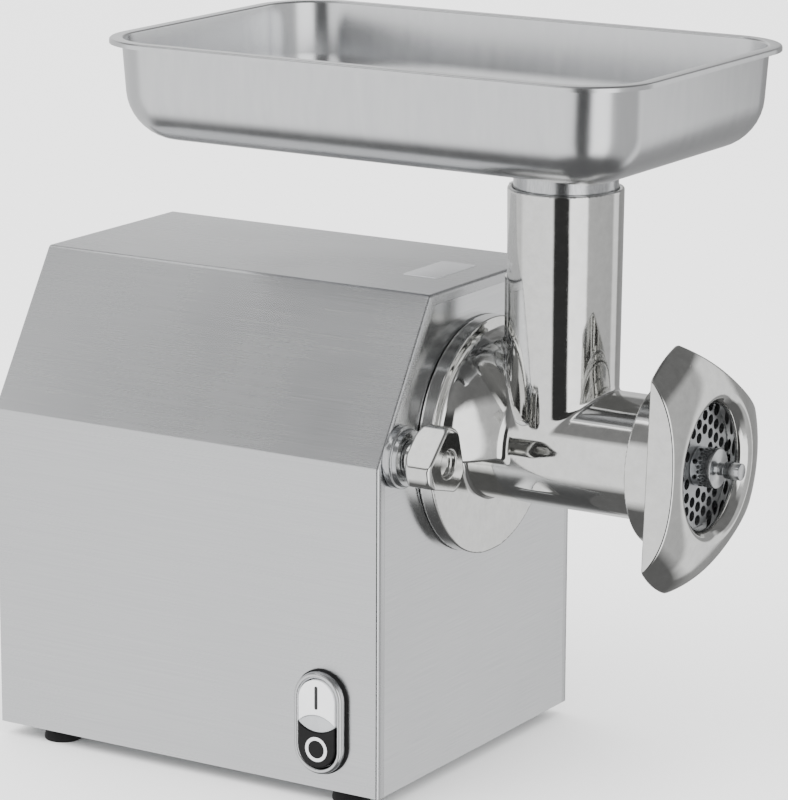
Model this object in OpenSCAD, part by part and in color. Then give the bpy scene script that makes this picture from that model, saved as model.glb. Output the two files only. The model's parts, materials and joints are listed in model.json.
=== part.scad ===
// Electric meat grinder: stainless casing with motor and gearbox, cast head,
// feed worm, knife, perforated plate, three-lobed ring nut and feed tray.

/* [Casing] */
// length of the casing along the head axis
case_length = 260; // [250:1:275]
// width of the casing
case_width = 212; // [204:1:222]
// height of the casing without its feet
case_height = 275; // [268:1:285]
// height at which both long sides start to lean inwards
kink_height = 188; // [180:1:194]
// how far the switch side leans in at the top
front_lean = 54; // [46:1:60]
// how far the far side leans in at the top
rear_lean = 32; // [26:1:40]
// bend radius of the sheet
bend_radius = 3; // [2:0.5:4]
// thickness of the casing sheet
sheet = 1.5; // [1.2:0.1:1.8]
// height of the rubber feet
foot_height = 8; // [7:1:10]

/* [Head] */
// height of the worm axis above the casing's lower edge
axis_rise = 187; // [186:1:188]
// radius of the head's mounting flange
flange_radius = 67.5; // [64:0.5:68]
// thickness of the mounting flange
flange_thick = 9.4; // [8:0.2:10]
// outer radius of the barrel
barrel_radius = 34.7; // [34.4:0.1:35.4]
// inner radius of the barrel
barrel_bore = 31; // [30.8:0.1:31.2]
// distance of the feed neck from the casing
neck_x = 53.9; // [52:0.5:56]
// outer radius of the feed neck at its top
neck_radius = 32.2; // [32:0.1:33]
// height of the neck's top above the worm axis
neck_rise = 146; // [140:1:150]
// radius of the perforated plate
plate_radius = 41; // [40.5:0.1:41]
// diameter of the holes in the plate
plate_hole = 5.9; // [4.5:0.1:6.2]

/* [Ring nut] */
// radius of the round skirt
skirt_radius = 47; // [46.8:0.1:47.6]
// radius to the tips of the three lobes
lobe_radius = 72.5; // [68:0.5:76]
// distance of the flat sides from the axis
flat_distance = 49.4; // [48.6:0.2:50.4]
// turn of the nut at rest
nut_turn = -3.7; // [-60:0.1:60]

/* [Feed tray] */
// length of the tray over its rim
tray_length = 337; // [320:1:345]
// width of the tray over its rim
tray_width = 216; // [200:1:230]
// depth of the tray
tray_depth = 56; // [50:1:62]
// outer corner radius of the rim
rim_corner = 40; // [38:1:42]
// width of the flat rim
rim_width = 8; // [7:0.5:9]
// sheet thickness of the tray
tray_sheet = 1.2; // [1:0.1:1.5]
// clear height between the neck and the tray
tray_lift = 20; // [16:1:26]

/* [Switch] */
// height of the switch bezel
switch_height = 57.5; // [55:0.5:60]
// width of the switch bezel
switch_width = 30; // [29:0.5:32]
// travel of each button
button_travel = 3; // [2:0.5:3]

/* [Gears] */
// teeth on the motor pinion
motor_teeth = 14; // [14:1:14]
// teeth on the first wheel
wheel_teeth = 49; // [49:1:49]
// teeth on the second pinion
pinion_teeth = 15; // [15:1:15]
// teeth on the output wheel
output_teeth = 43; // [43:1:43]
// module of the first gear pair
module_one = 1.5; // [1.5:0.1:1.5]
// module of the second gear pair
module_two = 2; // [2:0.1:2]

/* [Hidden] */
$fn = 96;

base_z = foot_height;
top_z = base_z + case_height;
kink_z = base_z + kink_height;
axis_z = base_z + axis_rise;
half_w = case_width / 2;
rear_x = -case_length;
neck_top = axis_z + neck_rise;
tray_floor = neck_top + tray_lift;
rim_top = tray_floor + tray_depth;
gap = 0.3;
run_fit = 0.05;
steel = [0.74, 0.75, 0.76];
bright = [0.83, 0.84, 0.85];
zinc = [0.62, 0.63, 0.62];
black = [0.05, 0.05, 0.055];
alloy = [0.66, 0.67, 0.68];

lay_z = axis_z - module_two * (pinion_teeth + output_teeth) / 2;
motor_z = lay_z - module_one * (motor_teeth + wheel_teeth) / 2;

plate_back = 131;
plate_front = 139;
knife_back = 122;
ring_start = 118.4;
nut_start = 118;
nut_back = 132.5;
nut_front = 151;
nut_mouth = 34.6;
stud_y = -86;
stud_z = axis_z + 4.5;
knob_flat = 14.8;
switch_x = -36.4;
switch_z = base_z + 39.3;
spring_rise = 14;
foot_spots = [[-26, -92], [-26, 92], [-226, -92], [-226, 92]];
label_x = -43.4;
gland_z = base_z + 38;
gland_y = 62;
tray_x0 = -187;
tray_y0 = -118;

function unit(v) = v / norm(v);
function corner_half(p, i) = let (n = len(p), a = unit(p[(i + n - 1) % n] - p[i]),
    b = unit(p[(i + 1) % n] - p[i])) acos(a * b) / 2;
function bisector(p, i) = let (n = len(p), a = unit(p[(i + n - 1) % n] - p[i]),
    b = unit(p[(i + 1) % n] - p[i])) unit(a + b);
function inset(p, d) = [for (i = [0:len(p) - 1]) p[i] + bisector(p, i) * d / sin(corner_half(p, i))];
function arc_at(p, i, r, steps = 6) = let (n = len(p), h = corner_half(p, i),
    c = p[i] + bisector(p, i) * r / sin(h),
    s = p[i] + unit(p[(i + n - 1) % n] - p[i]) * r / tan(h) - c,
    e = p[i] + unit(p[(i + 1) % n] - p[i]) * r / tan(h) - c,
    w = 180 - 2 * h)
    [for (k = [0:steps]) c + (s * sin(w * (1 - k / steps)) + e * sin(w * k / steps)) / sin(w)];
function rounded(p, r) = [for (i = [0:len(p) - 1]) each (i < 2 ? [p[i]] : arc_at(p, i, r))];

// casing outline seen along the head axis, bottom corners first
case_outline = [[half_w, base_z], [-half_w, base_z], [-half_w, kink_z], [-half_w + front_lean, top_z],
    [half_w - rear_lean, top_z], [half_w, kink_z]];

module along_x(x0, x1) {
    translate([x0, 0, 0]) rotate([90, 0, 90]) linear_extrude(height = x1 - x0) children();
}

module xcyl(x0, x1, r, y = 0, z = 0) {
    translate([x0, y, z]) rotate([0, 90, 0]) cylinder(h = x1 - x0, r = r);
}

module xtube(x0, x1, r_out, r_in, y = 0, z = 0) {
    difference() {
        xcyl(x0, x1, r_out, y, z);
        xcyl(x0 - 1, x1 + 1, r_in, y, z);
    }
}

// revolve a profile of [axial, radial] points about an axis parallel to X
module xrev(points, y = 0, z = 0) {
    translate([0, y, z]) rotate([0, 90, 0]) rotate_extrude()
        polygon([for (p = points) [p[1], p[0]]]);
}

module xbox(x0, x1, y0, y1, z0, z1) {
    translate([x0, y0, z0]) cube([x1 - x0, y1 - y0, z1 - z0]);
}

module stadium(w, h) {
    translate([0, h / 2 - w / 2]) circle(r = w / 2);
    translate([0, w / 2 - h / 2]) circle(r = w / 2);
    square([w, h - w], center = true);
}

module round_rect(w, h, r) {
    square([w, h - 2 * r], center = true);
    square([w - 2 * r, h], center = true);
    for (x = [-1, 1], y = [-1, 1])
        translate([x * (w / 2 - r), y * (h / 2 - r)]) circle(r = r);
}

// flat shape drawn on the switch side, reaching from y0 to y1
module on_switch_side(y0, y1) {
    translate([switch_x, y1, switch_z]) rotate([90, 0, 0]) linear_extrude(height = y1 - y0) children();
}

// ---------------------------------------------------------------- casing
module casing_cover() {
    inner = inset(case_outline, sheet);
    hollow = concat([[inner[0][0], base_z - 5], [inner[1][0], base_z - 5]],
        [for (i = [2:5]) each arc_at(inner, i, bend_radius - sheet)]);
    color(steel) difference() {
        along_x(rear_x, 0) polygon(rounded(case_outline, bend_radius));
        along_x(rear_x - 1, 1) polygon(hollow);
        on_switch_side(-half_w - 5, -half_w + 5) stadium(24.6, 51.4);
    }
}

module end_sheet() {
    polygon(rounded(inset(case_outline, sheet), bend_radius - sheet));
}

module head_end_panel() {
    color(bright) difference() {
        along_x(-sheet, 0) end_sheet();
        xcyl(-5, 5, 46, 0, axis_z);
        xcyl(-5, 5, 6.3, stud_y, stud_z);
        for (a = [45:90:315])
            xcyl(-5, 5, 2.6, 50.5 * cos(a), axis_z + 50.5 * sin(a));
    }
}

module rear_end_panel() {
    slot_w = 4;
    color(steel) difference() {
        along_x(rear_x, rear_x + sheet) end_sheet();
        for (row = [0:1], k = [-5:5])
            translate([rear_x - 1, k * 9, motor_z - 22 + row * 44]) rotate([90, 0, 90])
                linear_extrude(height = 5) stadium(slot_w, 30);
        xcyl(rear_x - 2, rear_x + 4, 8.1, gland_y, gland_z);
        for (s = rear_screw_spots)
            xcyl(rear_x - 2, rear_x + 4, 2.1, s[0], s[1]);
    }
}

rear_screw_spots = [[-95, 30], [95, 30], [-95, 180], [95, 180], [-40, 272], [62, 272]];

module base_plate() {
    color(zinc) difference() {
        xbox(rear_x + sheet, -sheet, -half_w + sheet, half_w - sheet, base_z, base_z + 2);
        for (s = foot_spots)
            translate([s[0], s[1], base_z - 1]) cylinder(h = 5, r = 2.6);
        for (side = [-1, 1], k = [0:5])
            translate([-150 + k * 12, side * 70, base_z - 1]) linear_extrude(height = 5)
                stadium(4, 36);
    }
}

module rubber_feet() {
    color(black) for (s = foot_spots) translate([s[0], s[1], 0]) difference() {
        cylinder(h = base_z, r1 = 9.5, r2 = 11);
        translate([0, 0, -1]) cylinder(h = 4, r = 5);
        cylinder(h = base_z + 1, r = 2.5);
    }
}

module foot_screws() {
    color(zinc) for (s = foot_spots) translate([s[0], s[1], 0]) {
        translate([0, 0, 1]) cylinder(h = 2, r = 4.5);
        translate([0, 0, 2]) cylinder(h = base_z + 6, r = 2.45);
        translate([0, 0, base_z + 2]) cylinder(h = 3.2, r = 4.6, $fn = 6);
    }
}

module panel_screws() {
    color(zinc) for (s = rear_screw_spots) {
        xrev([[rear_x - 1.6, 0], [rear_x - 1.6, 2.6], [rear_x - 0.9, 3.6], [rear_x, 3.8],
            [rear_x, 2.05], [rear_x + 9, 2.05], [rear_x + 9, 0]], s[0], s[1]);
    }
}

module label_plate() {
    color([0.9, 0.91, 0.92]) translate([label_x + 11.3, 9.5, top_z]) linear_extrude(height = 0.4)
        round_rect(22.6, 43, 1.5);
}

module cable_gland() {
    color(black) difference() {
        union() {
            xcyl(rear_x - 10, rear_x + 10, 8, gland_y, gland_z);
            translate([rear_x - 4, gland_y, gland_z]) rotate([0, 90, 0]) cylinder(h = 4, r = 11, $fn = 6);
            xcyl(rear_x - 12, rear_x - 4, 9, gland_y, gland_z);
            translate([rear_x + sheet, gland_y, gland_z]) rotate([0, 90, 0])
                cylinder(h = 4, r = 11, $fn = 6);
        }
        xcyl(rear_x - 20, rear_x + 20, 4, gland_y, gland_z);
    }
}

// ---------------------------------------------------------------- drive
function flank(r, rb) = let (c = acos(rb / r)) tan(c) * 180 / PI - c;
module gear_shape(teeth, mod, slack = 0.12) {
    rp = teeth * mod / 2;
    rb = rp * cos(20);
    ra = rp + 0.85 * mod;
    rf = rp - 1.25 * mod;
    half = 90 / teeth - slack / rp * 180 / PI + flank(rp, rb);
    low = max(rb, rf);
    steps = 4;
    side = [for (k = [0:steps]) let (r = low + (ra - low) * k / steps) [r, half - flank(r, rb)]];
    polygon([for (t = [0:teeth - 1]) let (mid = t * 360 / teeth) each concat(
        [[rf * cos(mid - half), rf * sin(mid - half)]],
        [for (p = side) [p[0] * cos(mid - p[1]), p[0] * sin(mid - p[1])]],
        [for (k = [steps:-1:0]) [side[k][0] * cos(mid + side[k][1]), side[k][0] * sin(mid + side[k][1])]],
        [[rf * cos(mid + half), rf * sin(mid + half)]])]);
}

module x_gear(x0, x1, teeth, mod, z, turn, bore) {
    difference() {
        translate([x0, 0, z]) rotate([90, 0, 90]) linear_extrude(height = x1 - x0)
            rotate(turn) gear_shape(teeth, mod);
        xcyl(x0 - 1, x1 + 1, bore, 0, z);
    }
}

module head_socket() {
    color(alloy) difference() {
        union() {
            xcyl(-16, 0, 45.7, 0, axis_z);
            xcyl(-7, -sheet, 56, 0, axis_z);
        }
        xcyl(-17, 1, 38.1, 0, axis_z);
        for (a = [45:90:315])
            xcyl(-8, 5, 2.2, 50.5 * cos(a), axis_z + 50.5 * sin(a));
    }
}

module socket_screws() {
    color(zinc) for (a = [45:90:315])
        xcyl(-14, -0.1, 2.15, 50.5 * cos(a), axis_z + 50.5 * sin(a));
}

// the box reaches from below the motor shaft to above the output wheel
box_low = motor_z - 26;
box_tall = axis_z + 54 - box_low;
box_mid = box_low + box_tall / 2;

module gearbox_housing() {
    color(alloy) difference() {
        union() {
            difference() {
                along_x(-82, -20) translate([0, box_mid]) round_rect(112, box_tall, 12);
                along_x(-83, -26) translate([0, box_mid]) round_rect(100, box_tall - 12, 9);
            }
            xcyl(-36, -16, 38, 0, axis_z);
            xcyl(-36, -20, 17, 0, lay_z);
        }
        xcyl(-36.5, -22.5, 32, 0, axis_z);
        xcyl(-37, -15, 26, 0, axis_z);
        xcyl(-36.5, -26, 13, 0, lay_z);
        for (a = [45:90:315])
            xcyl(-17, 5, 2.2, 50.5 * cos(a), axis_z + 50.5 * sin(a));
        for (s = box_screw_spots)
            xcyl(-83, -62, 2.2, s[0], s[1]);
    }
}

box_screw_spots = [for (y = [-1, 1], z = [motor_z - 19, lay_z + 8, axis_z + 42]) [y * 52, z]];

module gearbox_cover() {
    color(alloy) difference() {
        union() {
            along_x(-92, -82) translate([0, box_mid]) round_rect(112, box_tall, 12);
            xcyl(-82, -79, 20, 0, axis_z);
        }
        xcyl(-90, -78, 17.5, 0, axis_z);
        xcyl(-90, -78, 13, 0, lay_z);
        xcyl(-93, -78, 15, 0, motor_z);
        for (s = box_screw_spots)
            xcyl(-93, -80, 2.6, s[0], s[1]);
    }
}

module gearbox_screws() {
    color(zinc) for (s = box_screw_spots) {
        xcyl(-92, -66, 2.15, s[0], s[1]);
        translate([-96, s[0], s[1]]) rotate([0, 90, 0]) cylinder(h = 4, r = 3.3, $fn = 6);
    }
}

module oil_seal() {
    color(black) xtube(-22.5, -16.5, 25.9, 20 + run_fit, 0, axis_z);
}

module output_bearings() {
    color(bright) {
        xtube(-36, -23, 31.9, 20 + run_fit, 0, axis_z);
        xtube(-90, -80, 17.4, 8.5 + run_fit, 0, axis_z);
    }
}

module layshaft_bearings() {
    color(bright) for (x = [-36, -90])
        xtube(x, x + 9, 12.9, 7 + run_fit, 0, lay_z);
}

module motor_bearings() {
    color(bright) for (x = [-92, -222])
        xtube(x, x + 9, 14.9, 7 + run_fit, 0, motor_z);
}

module output_shaft() {
    color(steel) difference() {
        union() {
            xcyl(-60, -17, 20, 0, axis_z);
            xcyl(-90, -59, 8.5, 0, axis_z);
        }
        xbox(-38, -16, -8.2, 8.2, axis_z - 8.2, axis_z + 8.2);
    }
}

module output_wheel() {
    color(steel) x_gear(-58, -38, output_teeth, module_two, axis_z, -90, 20);
}

module layshaft() {
    color(steel) {
        xcyl(-90, -27, 7, 0, lay_z);
        x_gear(-59, -37.5, pinion_teeth, module_two, lay_z, 90 + 180 / pinion_teeth, 6);
    }
}

module first_wheel() {
    color(steel) x_gear(-76, -64, wheel_teeth, module_one, lay_z, -90, 7);
}

module motor_shaft() {
    color(steel) xcyl(-240, -62, 7, 0, motor_z);
}

module motor_pinion() {
    color(steel) x_gear(-77, -63, motor_teeth, module_one, motor_z, 90 + 180 / motor_teeth, 7);
}

module motor_rotor() {
    color([0.45, 0.46, 0.48]) xtube(-190, -112, 28, 7, 0, motor_z);
}

module motor_fan() {
    color(black) {
        xtube(-238, -226, 11, 7, 0, motor_z);
        xtube(-228, -226, 40, 7, 0, motor_z);
        for (a = [0:45:315])
            translate([0, 0, motor_z]) rotate([a, 0, 0]) xbox(-238, -227, -1, 1, 10, 40);
    }
}

module motor_stator() {
    color([0.35, 0.36, 0.38]) xtube(-190, -112, 48, 28.6, 0, motor_z);
}

module motor_shell() {
    color([0.4, 0.42, 0.45]) xtube(-212, -92, 52, 48, 0, motor_z);
}

module motor_end_bell() {
    color(alloy) difference() {
        union() {
            xcyl(-218, -212, 52, 0, motor_z);
            xcyl(-222, -212, 20, 0, motor_z);
        }
        xcyl(-223, -210, 14.9, 0, motor_z);
    }
}

module fan_cowl() {
    color([0.3, 0.31, 0.33]) difference() {
        xcyl(-248, -213, 54, 0, motor_z);
        xcyl(-246.5, -212, 52.1, 0, motor_z);
        for (a = [0:30:330])
            translate([0, 0, motor_z]) rotate([a, 0, 0]) xbox(-250, -240, -4, 4, 18, 44);
    }
}

module motor_cradle() {
    color(zinc) difference() {
        xbox(-185, -120, -42, 42, base_z + 2, motor_z - 22);
        xcyl(-190, -110, 52, 0, motor_z);
        xbox(-190, -110, -34, 34, base_z + 5, base_z + 22);
    }
}

module run_capacitor() {
    color([0.8, 0.8, 0.78]) xcyl(-190, -120, 18, 60, motor_z + 66);
}

module capacitor_clip() {
    color(zinc) {
        xtube(-165, -150, 19.2, 18, 60, motor_z + 66);
        xbox(-165, -150, 77.9, half_w - sheet, motor_z + 60, motor_z + 62);
    }
}

module contactor() {
    color([0.16, 0.16, 0.17]) {
        xbox(-190, -140, -half_w + sheet + 6, -58, kink_z - 50, kink_z - 10);
        xbox(-195, -135, -half_w + sheet, -half_w + sheet + 6, kink_z - 56, kink_z - 4);
    }
}

// ---------------------------------------------------------------- switch
module switch_gasket() {
    color(black) on_switch_side(-half_w - 1.5, -half_w) difference() {
        stadium(switch_width + 3, switch_height + 3);
        stadium(25, 51.8);
    }
}

module switch_bezel() {
    color(alloy) difference() {
        on_switch_side(-half_w - 6, -half_w - 1.5) stadium(switch_width, switch_height);
        on_switch_side(-half_w - 7, -half_w) stadium(24.2, 51.1);
    }
}

module button_part(y0, low, high) {
    intersection() {
        on_switch_side(y0, -half_w - 0.4) stadium(23.6, 50.5);
        xbox(switch_x - 20, switch_x + 20, -half_w - 20, -half_w + 20, switch_z + low, switch_z + high);
    }
}

module start_button() {
    color([0.72, 0.73, 0.74]) button_part(-half_w - 6.6, 5, 30);
}

module stop_button() {
    color(black) button_part(-half_w - 6.6, -30, -5);
}

module pilot_lens() {
    color([0.55, 0.56, 0.58]) button_part(-half_w - 6, -4.7, 4.7);
    color([0.55, 0.56, 0.58]) xbox(switch_x - 8, switch_x + 8, -half_w - 0.5, -half_w + 4,
        switch_z - 4, switch_z + 4);
}

module button_spring(side) {
    length = 8.4;
    color(zinc) translate([switch_x, -half_w + length - 0.4, switch_z + side * spring_rise])
        rotate([90, 0, 0]) difference() {
            cylinder(h = length, r = 4);
            translate([0, 0, -1]) cylinder(h = length + 2, r = 3);
        }
}

module start_spring() {
    button_spring(1);
}

module stop_spring() {
    button_spring(-1);
}

module switch_body() {
    pocket = 7.5;
    color([0.12, 0.12, 0.13]) difference() {
        xbox(switch_x - 12, switch_x + 12, -half_w + 4, -half_w + 42, switch_z - 23, switch_z + 23);
        for (side = [-1, 1])
            translate([switch_x, -half_w + 4 + pocket, switch_z + side * spring_rise])
                rotate([90, 0, 0]) cylinder(h = pocket + 1, r = 4.4);
    }
}

// ---------------------------------------------------------------- head
module head_casting() {
    color(bright) difference() {
        union() {
            xcyl(-14, 1, 38, 0, axis_z);
            xcyl(gap, flange_thick, flange_radius, 0, axis_z);
            xcyl(5, ring_start + 3, barrel_radius, 0, axis_z);
            xcyl(ring_start, 137.5, 44.3, 0, axis_z);
            translate([neck_x, 0, axis_z]) cylinder(h = neck_rise, r1 = 31, r2 = neck_radius);
            intersection() {
                xrev([[5, 0], [5, 62], [14, 60], [24, 52], [32, 42], [38, 33], [38, 0]], 0, axis_z);
                xbox(0, 60, -70, 70, axis_z - 4, axis_z + 80);
            }
            translate([neck_x - 26, 0, axis_z + 20]) cylinder(h = neck_rise - 20.5, r = 9);
            translate([neck_x - 26, 0, axis_z + 18]) cylinder(h = 76, r = 10.5);
        }
        xcyl(12, ring_start + 3.6, barrel_bore, 0, axis_z);
        xcyl(ring_start + 3, 140, plate_radius + run_fit, 0, axis_z);
        xcyl(-15, 13, 16, 0, axis_z);
        translate([neck_x, 0, axis_z]) cylinder(h = neck_rise + 1, r = 26.5);
        translate([neck_x, 0, neck_top - 35]) cylinder(h = 40, r = 29 + gap);
        xcyl(plate_back - 1, 140, 2, 0, axis_z - plate_radius);
    }
}

module head_bush() {
    color([0.75, 0.6, 0.35]) xtube(-14, 12, 16, 11 + run_fit, 0, axis_z);
}

module plate_pin() {
    color(zinc) xcyl(plate_back, 137.5, 1.9, 0, axis_z - plate_radius);
}

module perforated_plate() {
    pitch = 7.7;
    color([0.55, 0.56, 0.57]) difference() {
        union() {
            xcyl(plate_back, plate_front, plate_radius, 0, axis_z);
        }
        xcyl(plate_back - 1, plate_front + 1, 7 + run_fit, 0, axis_z);
        xcyl(plate_back - 1, plate_front + 1, 2, 0, axis_z - plate_radius);
        for (i = [-5:5], j = [-6:6])
            let (y = j * pitch * 0.866, z = (i + (j % 2 == 0 ? 0 : 0.5)) * pitch, d = norm([y, z]))
                if (d > 14.5 && d < 34) xcyl(plate_back - 1, plate_front + 1, plate_hole / 2, y, axis_z + z);
    }
}

module feed_worm() {
    flight_r = 30.3;
    core_r = 11;
    color(steel) {
        xcyl(-14.2, 14.5, 11, 0, axis_z);
        xbox(-36, -14, -8, 8, axis_z - 8, axis_z + 8);
        xcyl(14, 121, core_r + 1, 0, axis_z);
        xcyl(120.5, plate_front + 6, 7, 0, axis_z);
        xrev([[plate_front + 0.2, 0], [plate_front + 0.2, 11], [plate_front + 12, 11], [plate_front + 12.6, 10.4],
            [plate_front + 12.6, 3.4], [plate_front + 16.5, 3.4], [plate_front + 17, 4.7],
            [plate_front + 25.6, 4.7], [plate_front + 26.4, 3.9], [plate_front + 26.4, 0]], 0, axis_z);
        translate([15, 0, axis_z]) rotate([90, 0, 90])
            linear_extrude(height = 103, twist = 360 * 3.2, slices = 90, $fn = 32)
                polygon(concat([[0, 5], [0, -5]], [for (a = [-24:8:24]) [flight_r * cos(a / 3), flight_r * sin(a / 3)]]));
    }
}

module thrust_washer() {
    color(black) xtube(12.2, 13.8, 20, 11.2, 0, axis_z);
}

module cutting_knife() {
    color(steel) difference() {
        union() {
            xcyl(knife_back, plate_back - 0.1, 14, 0, axis_z);
            for (a = [0:90:270])
                translate([0, 0, axis_z]) rotate([a + 20, 0, 0]) {
                    xbox(knife_back, plate_back - 3, -5, 5, 8, 37);
                    xbox(knife_back + 2, plate_back - 0.1, -5, 0, 8, 37);
                }
        }
        xcyl(knife_back - 1, plate_back + 1, 7, 0, axis_z);
    }
}

module ring_nut() {
    dome_r = 42;
    dome_at = 38;
    color(bright) difference() {
        union() {
            xcyl(nut_start, nut_back + 2, skirt_radius, 0, axis_z);
            intersection() {
                translate([nut_back, 0, axis_z]) rotate([90, 0, 90]) linear_extrude(height = 20)
                    rotate(nut_turn) intersection() {
                        circle(r = lobe_radius);
                        circle(r = flat_distance * 2, $fn = 3);
                    }
                translate([0, 0, axis_z]) rotate([0, 90, 0]) rotate_extrude() union() {
                    translate([0, nut_back - 1]) square([lobe_radius + 2, 4]);
                    intersection() {
                        translate([dome_at, nut_front - dome_r]) circle(r = dome_r);
                        translate([0, nut_back]) square([lobe_radius + 2, 30]);
                    }
                    translate([0, nut_back]) square([dome_at, nut_front - nut_back]);
                }
            }
        }
        xcyl(nut_start - 1, plate_front + 0.1, 44.3 + gap, 0, axis_z);
        xcyl(nut_start, nut_front + 1, nut_mouth, 0, axis_z);
        xrev([[nut_front - 4, 0], [nut_front - 4, nut_mouth], [nut_front - 2.6, nut_mouth + 0.8],
            [nut_front - 1, nut_mouth + 2.4], [nut_front + 0.5, nut_mouth + 5.5],
            [nut_front + 0.5, 0]], 0, axis_z);
    }
}

module clamp_knob() {
    color(bright) difference() {
        union() {
            xrev([[14, 0], [14, 16.5], [16.5, 19.4], [18.5, 20.2], [28.5, 20.2], [31, 18.6], [32, 16.4],
                [32, 0]], stud_y, stud_z);
            xcyl(8, 14.5, 11, stud_y, stud_z);
        }
        for (a = [15:120:255])
            translate([0, stud_y, stud_z]) rotate([a, 0, 0])
                translate([13.9, knob_flat, -25]) cube([20, 10, 50]);
        xcyl(29, 33, 7.6, stud_y, stud_z);
    }
}

module clamp_stud() {
    color(steel) xcyl(-12, 8, 6, stud_y, stud_z);
}

module clamp_insert() {
    color(zinc) difference() {
        translate([-14, stud_y, stud_z]) rotate([0, 90, 0]) cylinder(h = 12.5, r = 11, $fn = 6);
        xcyl(-15, 0, 6 + run_fit, stud_y, stud_z);
    }
}

module clamp_washer() {
    color(steel) difference() {
        xrev([[0.4, 0], [0.4, 17.5], [4.5, 17.5], [5, 15], [7.6, 15], [8, 14.6], [8, 0]], stud_y, stud_z);
        xcyl(0, 9, 6, stud_y, stud_z);
    }
}

// ---------------------------------------------------------------- tray
fillet_r = 26;
draft = 3;
// wall section from the corner centre outwards, as [radius, height]
function tray_skin(d) = concat(
    [[0, tray_floor + d]],
    [for (k = [0:7]) let (a = -90 + k * 85 / 7, r = fillet_r - d)
        [rim_corner - rim_width - draft - fillet_r + r * cos(a), tray_floor + fillet_r + r * sin(a)]],
    [[rim_corner - rim_width - d, rim_top - (d > 0 ? -1 : tray_sheet)]]);

module tray_section() {
    difference() {
        union() {
            polygon(concat(tray_skin(0), [[0, rim_top - tray_sheet]]));
            translate([0, rim_top - tray_sheet]) square([rim_corner, tray_sheet]);
            translate([rim_corner - tray_sheet, rim_top - 3]) square([tray_sheet, 3]);
        }
        polygon(concat(tray_skin(tray_sheet), [[0, rim_top + 1]]));
    }
}

module feed_tray() {
    lx = tray_length - 2 * rim_corner;
    ly = tray_width - 2 * rim_corner;
    color(bright) difference() {
        translate([tray_x0 + rim_corner, tray_y0 + rim_corner, 0]) union() {
            translate([0, 0, tray_floor]) cube([lx, ly, tray_sheet]);
            for (q = [[lx, ly, 0], [0, ly, 90], [0, 0, 180], [lx, 0, 270]])
                translate([q[0], q[1], 0]) rotate([0, 0, q[2]]) rotate_extrude(angle = 90) tray_section();
            translate([lx, 0, 0]) rotate([90, 0, 180]) mirror([1, 0, 0]) mirror([0, 0, 1]) translate([0, 0, -ly])
                mirror([0, 0, 1]) translate([0, 0, -ly]) linear_extrude(height = ly) tray_section();
            rotate([90, 0, 180]) linear_extrude(height = ly) tray_section();
            translate([0, ly, 0]) rotate([90, 0, 90]) linear_extrude(height = lx) tray_section();
            translate([lx, 0, 0]) rotate([90, 0, -90]) linear_extrude(height = lx) tray_section();
        }
        translate([neck_x, 0, tray_floor - 1]) cylinder(h = 5, r = 27.6);
    }
}

module tray_spigot() {
    color(steel) translate([neck_x, 0, neck_top - 35 + 0.1]) difference() {
        cylinder(h = 35 + tray_lift - 0.1, r = 29);
        translate([0, 0, -1]) cylinder(h = 80, r = 27.6);
    }
}

casing_cover();
head_end_panel();
rear_end_panel();
base_plate();
rubber_feet();
foot_screws();
panel_screws();
label_plate();
cable_gland();
head_socket();
socket_screws();
gearbox_housing();
gearbox_cover();
gearbox_screws();
oil_seal();
output_bearings();
layshaft_bearings();
motor_bearings();
output_shaft();
output_wheel();
layshaft();
first_wheel();
motor_shaft();
motor_pinion();
motor_rotor();
motor_fan();
motor_stator();
motor_shell();
motor_end_bell();
fan_cowl();
motor_cradle();
run_capacitor();
capacitor_clip();
contactor();
switch_gasket();
switch_bezel();
start_button();
stop_button();
pilot_lens();
start_spring();
stop_spring();
switch_body();
head_casting();
head_bush();
plate_pin();
perforated_plate();
feed_worm();
thrust_washer();
cutting_knife();
ring_nut();
clamp_knob();
clamp_stud();
clamp_insert();
clamp_washer();
feed_tray();
tray_spigot();
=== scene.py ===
"""Looks of a bench-top electric meat grinder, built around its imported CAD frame.

Every piece is in metres in the frame's own axes: +X runs along the worm towards the mouth,
-Y is the side with the switch and +Z is up. Sizes are given in millimetres.
"""

import json
import logging
from dataclasses import dataclass, field
from enum import Enum
from math import acos, cos, pi, radians, sin
from typing import Callable, ClassVar, Optional, Sequence, Union

import bmesh
import bpy
import numpy as np
from mathutils import Matrix, Vector


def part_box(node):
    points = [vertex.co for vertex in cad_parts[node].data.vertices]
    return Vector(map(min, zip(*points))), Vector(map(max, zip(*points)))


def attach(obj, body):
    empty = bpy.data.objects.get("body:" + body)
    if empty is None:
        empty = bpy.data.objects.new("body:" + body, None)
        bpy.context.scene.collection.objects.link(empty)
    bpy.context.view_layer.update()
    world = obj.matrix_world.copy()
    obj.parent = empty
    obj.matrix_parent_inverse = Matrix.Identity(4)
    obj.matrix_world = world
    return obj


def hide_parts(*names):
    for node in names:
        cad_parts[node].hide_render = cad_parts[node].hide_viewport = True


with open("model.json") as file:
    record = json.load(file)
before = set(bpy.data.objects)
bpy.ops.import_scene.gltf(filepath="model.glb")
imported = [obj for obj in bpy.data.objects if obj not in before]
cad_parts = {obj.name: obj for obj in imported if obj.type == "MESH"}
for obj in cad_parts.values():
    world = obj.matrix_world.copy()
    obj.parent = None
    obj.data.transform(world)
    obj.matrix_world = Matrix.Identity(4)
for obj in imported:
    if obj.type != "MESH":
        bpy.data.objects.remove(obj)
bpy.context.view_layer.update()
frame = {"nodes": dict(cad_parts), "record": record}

log = logging.getLogger("grinder")
MM = 0.001
TURN = 2 * pi

Field = Callable[[np.ndarray], np.ndarray]
Point = Sequence[float]


# ------------------------------------------------------------------ shared helpers
class Axis(Enum):
    """The row axis that a turned piece is spun about."""

    X = 0
    Y = 1
    Z = 2


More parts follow.
